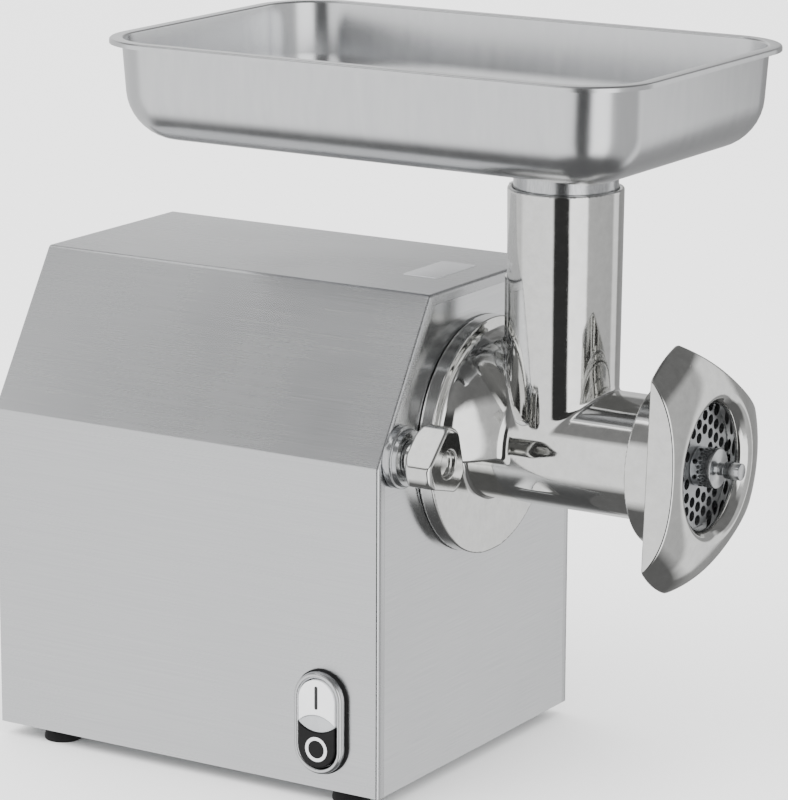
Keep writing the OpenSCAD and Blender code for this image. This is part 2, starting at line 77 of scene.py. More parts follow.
def linear(hex_colour: str) -> tuple[float, float, float, float]:
    """Turn an sRGB hex colour into a linear colour with full alpha.

    Args:
        hex_colour: Six hex digits, red first.

    Returns:
        Linear red, green and blue, and 1.
    """
    channels = [int(hex_colour[i:i + 2], 16) / 255 for i in (0, 2, 4)]
    return tuple(c / 12.92 if c <= 0.04045 else ((c + 0.055) / 1.055) ** 2.4 for c in channels) + (1.0,)


def add(tree: bpy.types.NodeTree, kind: str, props: Optional[dict] = None,
        inputs: Optional[dict] = None) -> bpy.types.Node:
    """Add a node with its settings and its links.

    Args:
        tree: The tree that gets the node.
        kind: The node's type name.
        props: Settings of the node itself.
        inputs: Socket name or index to a value, or to the output that feeds it.

    Returns:
        The new node.
    """
    node = tree.nodes.new(kind)
    for name, value in (props or {}).items():
        setattr(node, name, value)
    for name, value in (inputs or {}).items():
        if isinstance(value, bpy.types.NodeSocket):
            tree.links.new(value, node.inputs[name])
        else:
            node.inputs[name].default_value = value
    return node


def ramp(tree: bpy.types.NodeTree, factor: bpy.types.NodeSocket,
         stops: Sequence[tuple[float, float]]) -> bpy.types.NodeSocket:
    """Turn a factor into a grey value by a colour ramp.

    Args:
        tree: The tree that gets the node.
        factor: The value that is looked up, from 0 to 1.
        stops: Positions and their grey values.

    Returns:
        The ramp's colour output.
    """
    node = add(tree, "ShaderNodeValToRGB", inputs={"Fac": factor})
    band = node.color_ramp
    while len(band.elements) < len(stops):
        band.elements.new(0.5)
    for element, (place, grey) in zip(band.elements, sorted(stops)):
        element.position = place
        element.color = (grey, grey, grey, 1.0)
    return node.outputs["Color"]


# ------------------------------------------------------------------ finishes
@dataclass(frozen=True)
class Metal:
    """A bare metal surface: its colour, grain, polish waves, pits and scratches.

    Lengths are in millimetres. grain is the length of one grain streak along X, Y and Z.
    """

    name: str
    colour: str
    shade: str
    roughness: tuple[float, float]
    grain: tuple[float, float, float] = (4.0, 4.0, 4.0)
    grain_relief: float = 0.02
    anisotropy: float = 0.0
    brushed_along: str = "Z"
    wave: float = 30.0
    wave_relief: float = 0.0
    pit: float = 0.0
    scratch: float = 0.0
    metallic: float = 1.0
    CLOUD: ClassVar[float] = 60.0
    PIT_SPACING: ClassVar[float] = 7.0
    SCRATCH_LENGTH: ClassVar[float] = 45.0
    SCRATCH_SPACING: ClassVar[float] = 2.2

    def material(self) -> bpy.types.Material:
        """Build the material's nodes.

        Returns:
            The finished material.
        """
        made = bpy.data.materials.new(self.name)
        made.use_nodes = True
        tree = made.node_tree
        shader = tree.nodes["Principled BSDF"]
        place = add(tree, "ShaderNodeTexCoord").outputs["Object"]
        stretched = add(tree, "ShaderNodeMapping", inputs={
            "Vector": place, "Scale": tuple(1 / (g * MM) for g in self.grain)}).outputs["Vector"]
        streaks = add(tree, "ShaderNodeTexNoise", inputs={
            "Vector": stretched, "Scale": 1.0, "Detail": 4.0, "Roughness": 0.6}).outputs["Fac"]
        cloud = add(tree, "ShaderNodeTexNoise", inputs={
            "Vector": place, "Scale": 1 / (self.CLOUD * MM), "Detail": 3.0}).outputs["Fac"]
        tint = add(tree, "ShaderNodeMix", {"data_type": "RGBA"}, {
            0: ramp(tree, streaks, [(0.3, 0.0), (0.7, 1.0)]), 6: linear(self.shade), 7: linear(self.colour)})
        tree.links.new(tint.outputs[2], shader.inputs["Base Color"])
        patches = add(tree, "ShaderNodeMath", {"operation": "MULTIPLY"}, {0: cloud, 1: 0.6})
        mixed = add(tree, "ShaderNodeMath", {"operation": "MULTIPLY_ADD"}, {
            0: streaks, 1: 0.4, 2: patches.outputs[0]})
        gloss = add(tree, "ShaderNodeMapRange", inputs={
            "Value": mixed.outputs[0], "From Min": 0.35, "From Max": 0.65,
            "To Min": self.roughness[0], "To Max": self.roughness[1]})
        tree.links.new(gloss.outputs["Result"], shader.inputs["Roughness"])
        layers = [(streaks, self.grain_relief)]
        if self.wave_relief:
            swell = add(tree, "ShaderNodeTexNoise", inputs={
                "Vector": place, "Scale": 1 / (self.wave * MM), "Detail": 1.0})
            layers.append((swell.outputs["Fac"], self.wave_relief))
        if self.pit:
            cells = add(tree, "ShaderNodeTexVoronoi", {"feature": "F1"}, {
                "Vector": place, "Scale": 1 / (self.PIT_SPACING * MM), "Randomness": 1.0})
            dots = ramp(tree, cells.outputs["Distance"], [(0.0, 0.0), (0.05, 0.3), (0.075, 1.0)])
            layers.append((dots, self.pit))
        if self.scratch:
            long, fine = 1 / (self.SCRATCH_LENGTH * MM), 1 / (self.SCRATCH_SPACING * MM)
            tilted = add(tree, "ShaderNodeMapping", inputs={
                "Vector": place, "Rotation": (0.4, 0.9, 0.5), "Scale": (long, fine, fine)})
            hair = add(tree, "ShaderNodeTexNoise", inputs={
                "Vector": tilted.outputs["Vector"], "Scale": 1.0, "Detail": 1.0, "Distortion": 0.3})
            line = ramp(tree, hair.outputs["Fac"], [(0.48, 0.0), (0.5, 1.0), (0.52, 0.0)])
            layers.append((line, self.scratch))
        normal = {}
        for height, depth in layers:
            relief = add(tree, "ShaderNodeBump", inputs={
                "Height": height, "Strength": 1.0, "Distance": depth * MM, **normal})
            normal = {"Normal": relief.outputs["Normal"]}
        tree.links.new(normal["Normal"], shader.inputs["Normal"])
        shader.inputs["Metallic"].default_value = self.metallic
        if self.anisotropy:
            shader.inputs["Anisotropic"].default_value = self.anisotropy
            along = add(tree, "ShaderNodeTangent", {"direction_type": "RADIAL", "axis": self.brushed_along})
            tree.links.new(along.outputs["Tangent"], shader.inputs["Tangent"])
        return made


@dataclass(frozen=True)
class Moulded:
    """A moulded, painted or printed surface: two close tones, a fine grain and a gloss."""

    name: str
    colour: str
    shade: str
    roughness: tuple[float, float]
    grain_size: float = 0.8
    relief: float = 0.02
    coat: float = 0.0
    stripe: float = 0.0
    shine: float = 0.5
    CLOUD: ClassVar[float] = 25.0

    def material(self) -> bpy.types.Material:
        """Build the material's nodes.

        Returns:
            The finished material.
        """
        made = bpy.data.materials.new(self.name)
        made.use_nodes = True
        tree = made.node_tree
        shader = tree.nodes["Principled BSDF"]
        place = add(tree, "ShaderNodeTexCoord").outputs["Object"]
        fine = add(tree, "ShaderNodeTexNoise", inputs={
            "Vector": place, "Scale": 1 / (self.grain_size * MM), "Detail": 3.0}).outputs["Fac"]
        broad = add(tree, "ShaderNodeTexNoise", inputs={
            "Vector": place, "Scale": 1 / (self.CLOUD * MM), "Detail": 2.0}).outputs["Fac"]
        mark = broad
        if self.stripe:
            mark = add(tree, "ShaderNodeTexWave", {"wave_type": "BANDS", "bands_direction": "X"}, {
                "Vector": place, "Scale": 1 / (self.stripe * MM * 20), "Distortion": 0.0}).outputs["Fac"]
        tint = add(tree, "ShaderNodeMix", {"data_type": "RGBA"}, {
            0: ramp(tree, mark, [(0.3, 0.0), (0.7, 1.0)]), 6: linear(self.shade), 7: linear(self.colour)})
        tree.links.new(tint.outputs[2], shader.inputs["Base Color"])
        gloss = add(tree, "ShaderNodeMapRange", inputs={
            "Value": broad, "From Min": 0.35, "From Max": 0.65,
            "To Min": self.roughness[0], "To Max": self.roughness[1]})
        tree.links.new(gloss.outputs["Result"], shader.inputs["Roughness"])
        bump = add(tree, "ShaderNodeBump", inputs={
            "Height": fine, "Strength": 1.0, "Distance": self.relief * MM})
        tree.links.new(bump.outputs["Normal"], shader.inputs["Normal"])
        shader.inputs["Coat Weight"].default_value = self.coat
        shader.inputs["Specular IOR Level"].default_value = self.shine
        return made


class Finishes:
    """All the finishes of the grinder, made once each and shared by their pieces."""

    RECIPES: tuple[Union[Metal, Moulded], ...] = (
        # 304 stainless sheet, belt-brushed along X: long fine lines, light spread across them
        Metal("brushed_sheet", "d0d1d2", "c9cacc", (0.25, 0.29), grain=(70.0, 0.7, 0.7),
              grain_relief=0.0012, anisotropy=0.75, brushed_along="X"),
        # the same sheet with the finer mill finish of the head-side panel: soft mirror
        Metal("satin_sheet", "d2d3d4", "c6c7c9", (0.17, 0.21), grain=(3.0, 40.0, 0.6),
              grain_relief=0.003),
        # polished and tinned cast: near mirror with slow waves, pits and hair scratches
        Metal("polished_cast", "dfdfdd", "d3d3d1", (0.045, 0.085), grain=(6.0, 6.0, 6.0),
              grain_relief=0.003, wave=22.0, wave_relief=0.10, pit=0.012, scratch=0.002),
        # deep-drawn stainless: satin walls with faint draw waves
        Metal("drawn_sheet", "d6d7d8", "d0d1d3", (0.21, 0.25), grain=(6.0, 6.0, 30.0),
              grain_relief=0.0008, wave=55.0, wave_relief=0.10),
        # turned steel: fine rings that read as a soft sheen
        Metal("machined_steel", "c9cacb", "b4b6b8", (0.14, 0.22), grain=(0.4, 5.0, 5.0),
              grain_relief=0.004),
        # surface-ground hardened plate: grey, evenly matt
        Metal("plate_steel", "b4b6b8", "a3a5a7", (0.28, 0.36), grain=(5.0, 0.6, 14.0),
              grain_relief=0.003),
        # zinc-plated steel: bluish grey with a mottled passivation
        Metal("zinc_steel", "b3b7b9", "8f9496", (0.30, 0.42), grain=(5.0, 5.0, 5.0)),
        # die-cast aluminium: pale, slightly grainy skin
        Metal("cast_alloy", "b8babc", "a3a5a8", (0.42, 0.55), grain=(1.2, 1.2, 1.2), grain_relief=0.03),
        # satin-chromed bezel casting: silver, soft highlight
        Metal("bezel_alloy", "d6d7d8", "c9cacc", (0.24, 0.30), grain=(0.8, 0.8, 0.8), grain_relief=0.004),
        # sintered bronze: brown-yellow with fine pores
        Metal("bronze_bush", "b08a52", "8d6a3c", (0.30, 0.42), grain=(1.0, 1.0, 1.0), grain_relief=0.02),
        # nitrile rubber: black, dull, faint bloom
        Moulded("black_rubber", "121213", "0b0b0c", (0.6, 0.75), relief=0.03, shine=0.25),
        # ABS, spark-eroded mould: black with a fine texture
        Moulded("black_plastic", "0d0d0e", "080809", (0.38, 0.46), grain_size=0.5, relief=0.01, shine=0.25),
        # ABS start button: pale grey, smooth
        Moulded("grey_plastic", "dfe0e1", "d6d7d9", (0.28, 0.36), grain_size=0.5, relief=0.006),
        # polycarbonate lens over an unlit lamp: mid grey, satin
        Moulded("lens_plastic", "a4a6a8", "97999c", (0.22, 0.3), grain_size=0.6, relief=0.004, coat=0.3),
        # air-drying enamel on the motor shell: grey with light orange peel
        Moulded("painted_shell", "5f6468", "565a5e", (0.3, 0.4), grain_size=1.4, relief=0.03, coat=0.2),
        # varnished electrical-steel laminations seen edge on
        Moulded("steel_laminate", "5a5c60", "35373a", (0.35, 0.45), stripe=1.2, relief=0.03),
        # blank metallised label foil
        Metal("label_foil", "e4e5e7", "dcdde0", (0.33, 0.38), grain=(1.0, 1.0, 1.0), grain_relief=0.002,
              metallic=0.6),
        # polypropylene capacitor can: off-white, smooth
        Moulded("capacitor_can", "d9d8d2", "cfcec7", (0.35, 0.45)),
        # printed marks on the buttons
        Moulded("dark_mark", "1d1d1e", "151516", (0.4, 0.5), relief=0.004),
        Moulded("light_mark", "d2d3d5", "c6c8ca", (0.35, 0.45), relief=0.004),
    )

    def __init__(self) -> None:
        """Build each material once."""
        self.made = {recipe.name: recipe.material() for recipe in self.RECIPES}

    def dress_frame(self) -> None:
        """Give every CAD node the finish that the record names for it."""
        for part in frame["record"]["subparts"]:
            node = frame["nodes"].get(part["node"])
            if node is None:
                continue
            finish = self.made[part["material_slot"]]
            if not node.material_slots:
                node.data.materials.append(finish)
            for slot in node.material_slots:
                slot.material = finish


# ------------------------------------------------------------------ mesh tools
def outward(bm: bmesh.types.BMesh) -> None:
    """Turn every face outwards."""
    bmesh.ops.recalc_face_normals(bm, faces=list(bm.faces))


def soften(bm: bmesh.types.BMesh, edges: Sequence[bmesh.types.BMEdge], radius: float, segments: int) -> None:
    """Round some edges to a radius given in millimetres."""
    bmesh.ops.bevel(bm, geom=edges, offset=radius * MM, segments=segments, profile=0.5, affect="EDGES",
                    material=-1)


def thicken(bm: bmesh.types.BMesh, along: Vector) -> None:
    """Extrude a flat sheet into a closed solid.

    Args:
        bm: The sheet.
        along: The way and length of the extrusion in metres.
    """
    swept = bmesh.ops.extrude_face_region(bm, geom=list(bm.faces), use_keep_orig=True)
    moved = [g for g in swept["geom"] if isinstance(g, bmesh.types.BMVert)]
    bmesh.ops.translate(bm, verts=moved, vec=along)
    outward(bm)


def skin(bm: bmesh.types.BMesh, loops: Sequence[list[bmesh.types.BMEdge]]) -> None:
    """Bridge each loop of edges to the next."""
    for near, far in zip(loops, loops[1:]):
        bmesh.ops.bridge_loops(bm, edges=near + far)


def ring(bm: bmesh.types.BMesh, points: Sequence[Point]) -> list[bmesh.types.BMEdge]:
    """Lay a closed loop of edges through points.

    Args:
        bm: The mesh that gets them.
        points: Corners in metres, in order.

    Returns:
        The new edges.
    """
    verts = [bm.verts.new(p) for p in points]
    return [bm.edges.new((verts[i - 1], verts[i])) for i in range(len(verts))]


def turned(profile: Sequence[tuple[float, float]], axis: Axis, centre: Point, steps: int = 96,
           rounding: float = 0.0) -> bmesh.types.BMesh:
    """Turn a closed solid from a profile, as on a lathe.

    Args:
        profile: Closed outline as (along the axis, radius) in millimetres.
        axis: The row axis it is turned about.
        centre: A point on that axis in millimetres.
        steps: Facets round the turn.
        rounding: Edge radius of the profile's corners off the axis, in millimetres.

    Returns:
        The turned mesh, in metres.
    """
    bm = bmesh.new()
    along = Vector([float(axis.value == i) for i in range(3)])
    across = Vector((0.0, 1.0, 0.0)) if axis is Axis.X else Vector((1.0, 0.0, 0.0))
    base = Vector(centre) - along * along.dot(Vector(centre))
    corners = [(base + along * a + across * r) * MM for a, r in profile]
    edges = ring(bm, corners)
    if rounding:
        off_axis = [v for v, (a, r) in zip(list(bm.verts), profile) if r > 0.01]
        bmesh.ops.bevel(bm, geom=off_axis, offset=rounding * MM, segments=3, profile=0.5,
                        affect="VERTICES", material=-1, clamp_overlap=True)
    bmesh.ops.spin(bm, geom=list(bm.verts) + list(bm.edges), cent=base * MM, axis=along,
                   angle=TURN, steps=steps, use_merge=True)
    bmesh.ops.remove_doubles(bm, verts=list(bm.verts), dist=0.002 * MM)
    on_axis = [e for e in bm.edges if not e.link_faces]
    bmesh.ops.delete(bm, geom=on_axis, context="EDGES")
    outward(bm)
    return bm


def stadium(width: float, height: float, centre: Vector, depth: float,
            segments: int = 64) -> bmesh.types.BMesh:
    """Make an upright stadium-shaped solid that reaches from centre towards +Y.

    Args:
        width: Full width along X in millimetres.
        height: Full height along Z in millimetres.
        centre: Middle of its front face in millimetres.
        depth: Its size along Y in millimetres.
        segments: Facets of the two round ends together.

    Returns:
        The solid, in metres.
    """
    bm = bmesh.new()
    bmesh.ops.create_circle(bm, cap_ends=True, radius=width / 2 * MM, segments=segments)
    bmesh.ops.rotate(bm, verts=list(bm.verts), cent=(0, 0, 0), matrix=Matrix.Rotation(pi / segments, 3, "Z"))
    bmesh.ops.rotate(bm, verts=list(bm.verts), cent=(0, 0, 0), matrix=Matrix.Rotation(pi / 2, 3, "X"))
    for side in (1, -1):
        half = [v for v in bm.verts if v.co.z * side > 0]
        bmesh.ops.translate(bm, verts=half, vec=(0, 0, side * (height - width) / 2 * MM))
    bmesh.ops.translate(bm, verts=list(bm.verts), vec=centre * MM)
    thicken(bm, Vector((0, depth * MM, 0)))
    return bm


def as_object(bm: bmesh.types.BMesh, name: str) -> bpy.types.Object:
    """Turn a bmesh into an object at the origin and free the bmesh."""
    mesh = bpy.data.meshes.new(name)
    bm.to_mesh(mesh)
    bm.free()
    made = bpy.data.objects.new(name, mesh)
    bpy.context.scene.collection.objects.link(made)
    return made


def carve(base: bmesh.types.BMesh, hole: bmesh.types.BMesh) -> bpy.types.Mesh:
    """Cut a hole with an exact boolean.

    Args:
        base: The solid.
        hole: The solid that is cut from it.

    Returns:
        The finished mesh.
    """
    work, tool = as_object(base, "work"), as_object(hole, "tool")
    step = work.modifiers.new("hole", "BOOLEAN")
    step.operation = "DIFFERENCE"
    step.solver = "EXACT"
    step.object = tool
    bpy.context.view_layer.update()
    seen = work.evaluated_get(bpy.context.evaluated_depsgraph_get())
    mesh = bpy.data.meshes.new_from_object(seen)
    for spent in (work, tool):
        data = spent.data
        bpy.data.objects.remove(spent)
        bpy.data.meshes.remove(data)
    return mesh


@dataclass
class Piece:
    """One finished visible piece: its name, mesh, finish, body and what it stands for."""

    name: str
    mesh: Union[bmesh.types.BMesh, bpy.types.Mesh]
    finish: str
    body: str
    stands_for: tuple[str, ...] = ()
    slot: str = ""
    smooth_angle: float = 35.0

    def place(self, finishes: Finishes) -> bpy.types.Object:
        """Link the piece, dress it and tie it to its body.

        Args:
            finishes: Where its material comes from.

        Returns:
            The placed object.
        """
        if isinstance(self.mesh, bpy.types.Mesh):
            self.mesh.name = self.name
            made = bpy.data.objects.new(self.name, self.mesh)
            bpy.context.scene.collection.objects.link(made)
        else:
            made = as_object(self.mesh, self.name)
        mesh = made.data
        mesh.materials.clear()
        mesh.materials.append(finishes.made[self.finish])
        if not mesh.has_custom_normals:
            mesh.shade_smooth()
            mesh.set_sharp_from_angle(angle=radians(self.smooth_angle))
        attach(made, self.body)
        if self.stands_for:
            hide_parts(*self.stands_for)
        log.info("%s: %d faces on %s", self.name, len(mesh.polygons), self.body)
        return made


# ------------------------------------------------------------------ smooth cast forms
def round_rod(p: np.ndarray, axis: Axis, centre: Point, radius: Union[float, np.ndarray],
              span: tuple[float, float], edge: float = 0.8) -> np.ndarray:
    """Signed distance to a rod with rounded ends.

    Args:
        p: Points in millimetres, one per row.
        axis: The row axis that the rod runs along.
        centre: A point on the rod's own axis.
        radius: Its radius, or one radius per point for a taper.
        span: Where it starts and ends along the axis.
        edge: Radius of its edges.

    Returns:
        One distance per point, negative inside.
    """
    others = [i for i in range(3) if i != axis.value]
    out = np.hypot(p[:, others[0]] - centre[others[0]], p[:, others[1]] - centre[others[1]]) - radius + edge
    end = np.abs(p[:, axis.value] - (span[0] + span[1]) / 2) - (span[1] - span[0]) / 2 + edge
    return np.hypot(np.maximum(out, 0), np.maximum(end, 0)) + np.minimum(np.maximum(out, end), 0) - edge


def join(a: np.ndarray, b: np.ndarray, fillet: float) -> np.ndarray:
    """Union of two distances with a fillet where they meet."""
    h = np.clip(0.5 + 0.5 * (b - a) / fillet, 0, 1)
    return b * (1 - h) + a * h - fillet * h * (1 - h)


def both(a: np.ndarray, b: np.ndarray, edge: float) -> np.ndarray:
    """Intersection of two distances with a rounded edge."""
    return -join(-a, -b, edge)


def net(surface: Field, low: Point, high: Point, cell: float) -> bpy.types.Mesh:
    """Cover a smooth form with an even net of quads and lay it on the form's surface.

    Castings blend into each other, which plain solids and bevels can't give, so these pieces
    are meshed from their distance function.

    Args:
        surface: Signed distance in millimetres for points in millimetres.
        low: Lowest corner of the space that holds the form, in millimetres.
        high: Highest corner of that space.
        cell: Edge of the quads in millimetres.

    Returns:
        The mesh, in metres, with the form's own normals.
    """
    lines = [np.arange(a - 2 * cell, b + 2 * cell, cell) for a, b in zip(low, high)]
    grid = np.stack(np.meshgrid(*lines, indexing="ij"), -1)
    inside = np.concatenate([surface(part.reshape(-1, 3)).reshape(part.shape[:-1]) < 0
                             for part in np.array_split(grid, 12)])
    count = sum(inside[i:i + inside.shape[0] - 1, j:j + inside.shape[1] - 1, k:k + inside.shape[2] - 1]
                .astype(np.int8) for i in (0, 1) for j in (0, 1) for k in (0, 1))
    mixed = (count > 0) & (count < 8)
    number = np.full(mixed.shape, -1)
    number[mixed] = np.arange(mixed.sum())
    points = grid[:-1, :-1, :-1][mixed] + cell / 2
    quads = []
    for axis in range(3):
        turned_in = np.moveaxis(inside, [axis, (axis + 1) % 3, (axis + 2) % 3], [0, 1, 2])
        cells = np.moveaxis(number, [axis, (axis + 1) % 3, (axis + 2) % 3], [0, 1, 2])
        here, after = turned_in[:-1, 1:-1, 1:-1], turned_in[1:, 1:-1, 1:-1]
        corners = [cells[:, :-1, :-1], cells[:, 1:, :-1], cells[:, 1:, 1:], cells[:, :-1, 1:]]
        for crossing, order in ((here & ~after, (0, 1, 2, 3)), (~here & after, (3, 2, 1, 0))):
            quads.append(np.stack([corners[n][crossing] for n in order], -1))
    mesh = bpy.data.meshes.new("net")
    step = 0.02

    def slope(q: np.ndarray) -> np.ndarray:
        """Gradient of the surface's distance by central differences."""
        return np.stack([surface(q + d) - surface(q - d) for d in np.eye(3) * step], 1) / (2 * step)

    for _ in range(5):
        g = slope(points)
        move = surface(points)[:, None] * g / np.maximum((g * g).sum(1, keepdims=True), 0.25)
        size = np.linalg.norm(move, axis=1, keepdims=True)
        points = points - move * np.minimum(1, cell / np.maximum(size, 1e-9))
    g = slope(points)
    g /= np.maximum(np.linalg.norm(g, axis=1, keepdims=True), 1e-9)
    mesh.from_pydata((points * MM).tolist(), [], np.concatenate(quads).tolist())
    mesh.update()
    mesh.shade_smooth()
    mesh.normals_split_custom_set_from_vertices(g.tolist())
    return mesh


# ------------------------------------------------------------------ casing
@dataclass
class Casing:
    """The folded sheet cover, its head-side panel, feet and label."""

    front_lean: float = 54.0
    rear_lean: float = 32.0
    bend: float = 3.0
    sheet: float = 1.5
    lip: float = 6.0
    seam: float = 0.1
    edge_round: float = 2.6
    kink_rise: float = 188.0
    socket_hole: float = 46.0
    stud_hole: float = 6.3
    screw_circle: float = 50.5
    screw_hole: float = 2.6
    label_corner: float = 1.5
    label_edge: float = 0.15
    foot_low: float = 9.5
    foot_high: float = 11.0
    low: Vector = field(default_factory=lambda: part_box("casing_cover")[0] / MM)
    high: Vector = field(default_factory=lambda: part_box("casing_cover")[1] / MM)

    def outline(self, inward: float = 0.0) -> list[tuple[float, float]]:
        """Corners of the casing's end view as (y, z), moved inwards.

        Args:
            inward: How far inside the sheet's outer face, in millimetres.

        Returns:
            Six corners in millimetres, starting at the bottom on the far side.
        """
        kink = self.low.z + self.kink_rise
        corners = [Vector(c) for c in (
            (self.high.y, self.low.z), (self.low.y, self.low.z), (self.low.y, kink),
            (self.low.y + self.front_lean, self.high.z), (self.high.y - self.rear_lean, self.high.z),
            (self.high.y, kink))]
        moved = []
        for i, corner in enumerate(corners):
            a = (corners[i - 1] - corner).normalized()
            b = (corners[(i + 1) % len(corners)] - corner).normalized()
            way = (a + b).normalized()
            moved.append(tuple(corner + way * inward / sin(acos(a.dot(b)) / 2)))
        return moved

    def bent_outline(self, inward: float, steps: int = 6) -> list[tuple[float, float]]:
        """The end view with round bends, moved inwards, always with as many points.

        Args:
            inward: How far inside the sheet's outer face, in millimetres.
            steps: Facets of each bend.

        Returns:
            Points as (y, z) in millimetres, the two square bottom corners first.
        """
        corners = [Vector(c) for c in self.outline(inward)]
        radius = max(self.bend - inward, 0.4)
        points = [(c.x, self.low.z) for c in corners[:2]]
        for i in range(2, len(corners)):
            a = (corners[i - 1] - corners[i]).normalized()
            b = (corners[(i + 1) % len(corners)] - corners[i]).normalized()
            half = acos(a.dot(b)) / 2
            centre = corners[i] + (a + b).normalized() * radius / sin(half)
            first = corners[i] + a * radius * cos(half) / sin(half) - centre
            last = corners[i] + b * radius * cos(half) / sin(half) - centre
            sweep = pi - 2 * half
            for k in range(steps + 1):
                t = k / steps
                spot = (first * sin(sweep * (1 - t)) + last * sin(sweep * t)) / sin(sweep)
                points.append(tuple(centre + spot))
        return points

    def cover(self, hole: bmesh.types.BMesh) -> bpy.types.Mesh:
        """Fold the cover: bent along its length, with a rounded, returned lip at the head side.

        Args:
            hole: The opening for the switch.

        Returns:
            The cover's mesh.
        """
        turns = [k / 6 * pi / 2 for k in range(7)]
        inner = self.edge_round - self.sheet
        section = [(self.low.x, 0.0)]
        section += [(-self.edge_round * (1 - sin(t)), self.edge_round * (1 - cos(t))) for t in turns]
        section += [(0.0, self.lip), (-self.sheet, self.lip)]
        section += [(-self.edge_round + inner * sin(t), self.edge_round - inner * cos(t))
                    for t in reversed(turns)]
        section.append((self.low.x, self.sheet))
        paths = [self.bent_outline(inward) for _, inward in section]
        bm = bmesh.new()
        loops = []
        for k in [*range(1, len(paths[0])), 0]:
            loops.append(ring(bm, [(x * MM, path[k][0] * MM, path[k][1] * MM)
                                   for (x, _), path in zip(section, paths)]))
        skin(bm, loops)
        bmesh.ops.holes_fill(bm, edges=loops[0] + loops[-1])
        outward(bm)
        return carve(bm, hole)

    def head_panel(self) -> bmesh.types.BMesh:
        """Cut the flat head-side panel with its socket, stud and screw holes.

        Returns:
            The panel's mesh.
        """
        socket = (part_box("head_socket")[0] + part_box("head_socket")[1]) / 2 / MM
        stud = (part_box("clamp_stud")[0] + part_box("clamp_stud")[1]) / 2 / MM
        holes = [(socket.y, socket.z, self.socket_hole), (stud.y, stud.z, self.stud_hole)]
        for k in range(4):
            turn = pi / 4 + k * pi / 2
            holes.append((socket.y + self.screw_circle * cos(turn), socket.z + self.screw_circle * sin(turn),
                          self.screw_hole))
        bm = bmesh.new()
        outline = self.outline(self.lip + self.seam)
        outline[:2] = [(y, self.low.z) for y, _ in outline[:2]]
        edges = ring(bm, [(-self.sheet * MM, y * MM, z * MM) for y, z in outline])
        for y, z, radius in holes:
            facets = 96 if radius > 10 else 32
            edges += ring(bm, [(-self.sheet * MM, (y + radius * cos(TURN * k / facets)) * MM,
                                (z + radius * sin(TURN * k / facets)) * MM) for k in range(facets)])
        bmesh.ops.triangle_fill(bm, edges=edges, use_beauty=True, normal=(1, 0, 0))
        thicken(bm, Vector((self.sheet * MM, 0, 0)))
        return bm

    def feet(self) -> bmesh.types.BMesh:
        """Turn the four rubber feet, wider at the worktop.

        Returns:
            One mesh of the four feet.
        """
        low, high = (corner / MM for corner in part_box("rubber_feet"))
        bm = bmesh.new()
        for x in (low.x + self.foot_high, high.x - self.foot_high):
            for y in (low.y + self.foot_high, high.y - self.foot_high):
                foot = turned([(low.z, 0), (low.z, self.foot_high), (low.z + 2, self.foot_high),
                               (high.z, self.foot_low), (high.z, 0)], Axis.Z, (x, y, 0), 48, 0.7)
                part = bpy.data.meshes.new("foot")
                foot.to_mesh(part)
                foot.free()
                bm.from_mesh(part)
                bpy.data.meshes.remove(part)
        return bm

    def label(self) -> bmesh.types.BMesh:
        """Make the blank label plate with rounded corners and edges.

        Returns:
            The plate.
        """
        low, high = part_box("label_plate")
        bm = bmesh.new()
        bmesh.ops.create_cube(bm, size=1.0)
        bmesh.ops.scale(bm, verts=list(bm.verts), vec=high - low)
        bmesh.ops.translate(bm, verts=list(bm.verts), vec=(low + high) / 2)
        upright = [e for e in bm.edges if abs(e.verts[0].co.z - e.verts[1].co.z) > 0.1 * MM]
        soften(bm, upright, self.label_corner, 5)
        top = [e for e in bm.edges if all(v.co.z > high.z - 1e-5 for v in e.verts)]
        soften(bm, top, self.label_edge, 2)
        return bm

    def pieces(self, switch_hole: bmesh.types.BMesh) -> list[Piece]:
        """List the casing's pieces."""
        return [
            Piece("cover_folded", self.cover(switch_hole), "brushed_sheet", "base", ("casing_cover",)),
            Piece("head_side_panel", self.head_panel(), "satin_sheet", "base", ("head_end_panel",)),
            Piece("feet_turned", self.feet(), "black_rubber", "base", ("rubber_feet",)),
            Piece("label_blank", self.label(), "label_foil", "base", ("label_plate",)),
        ]


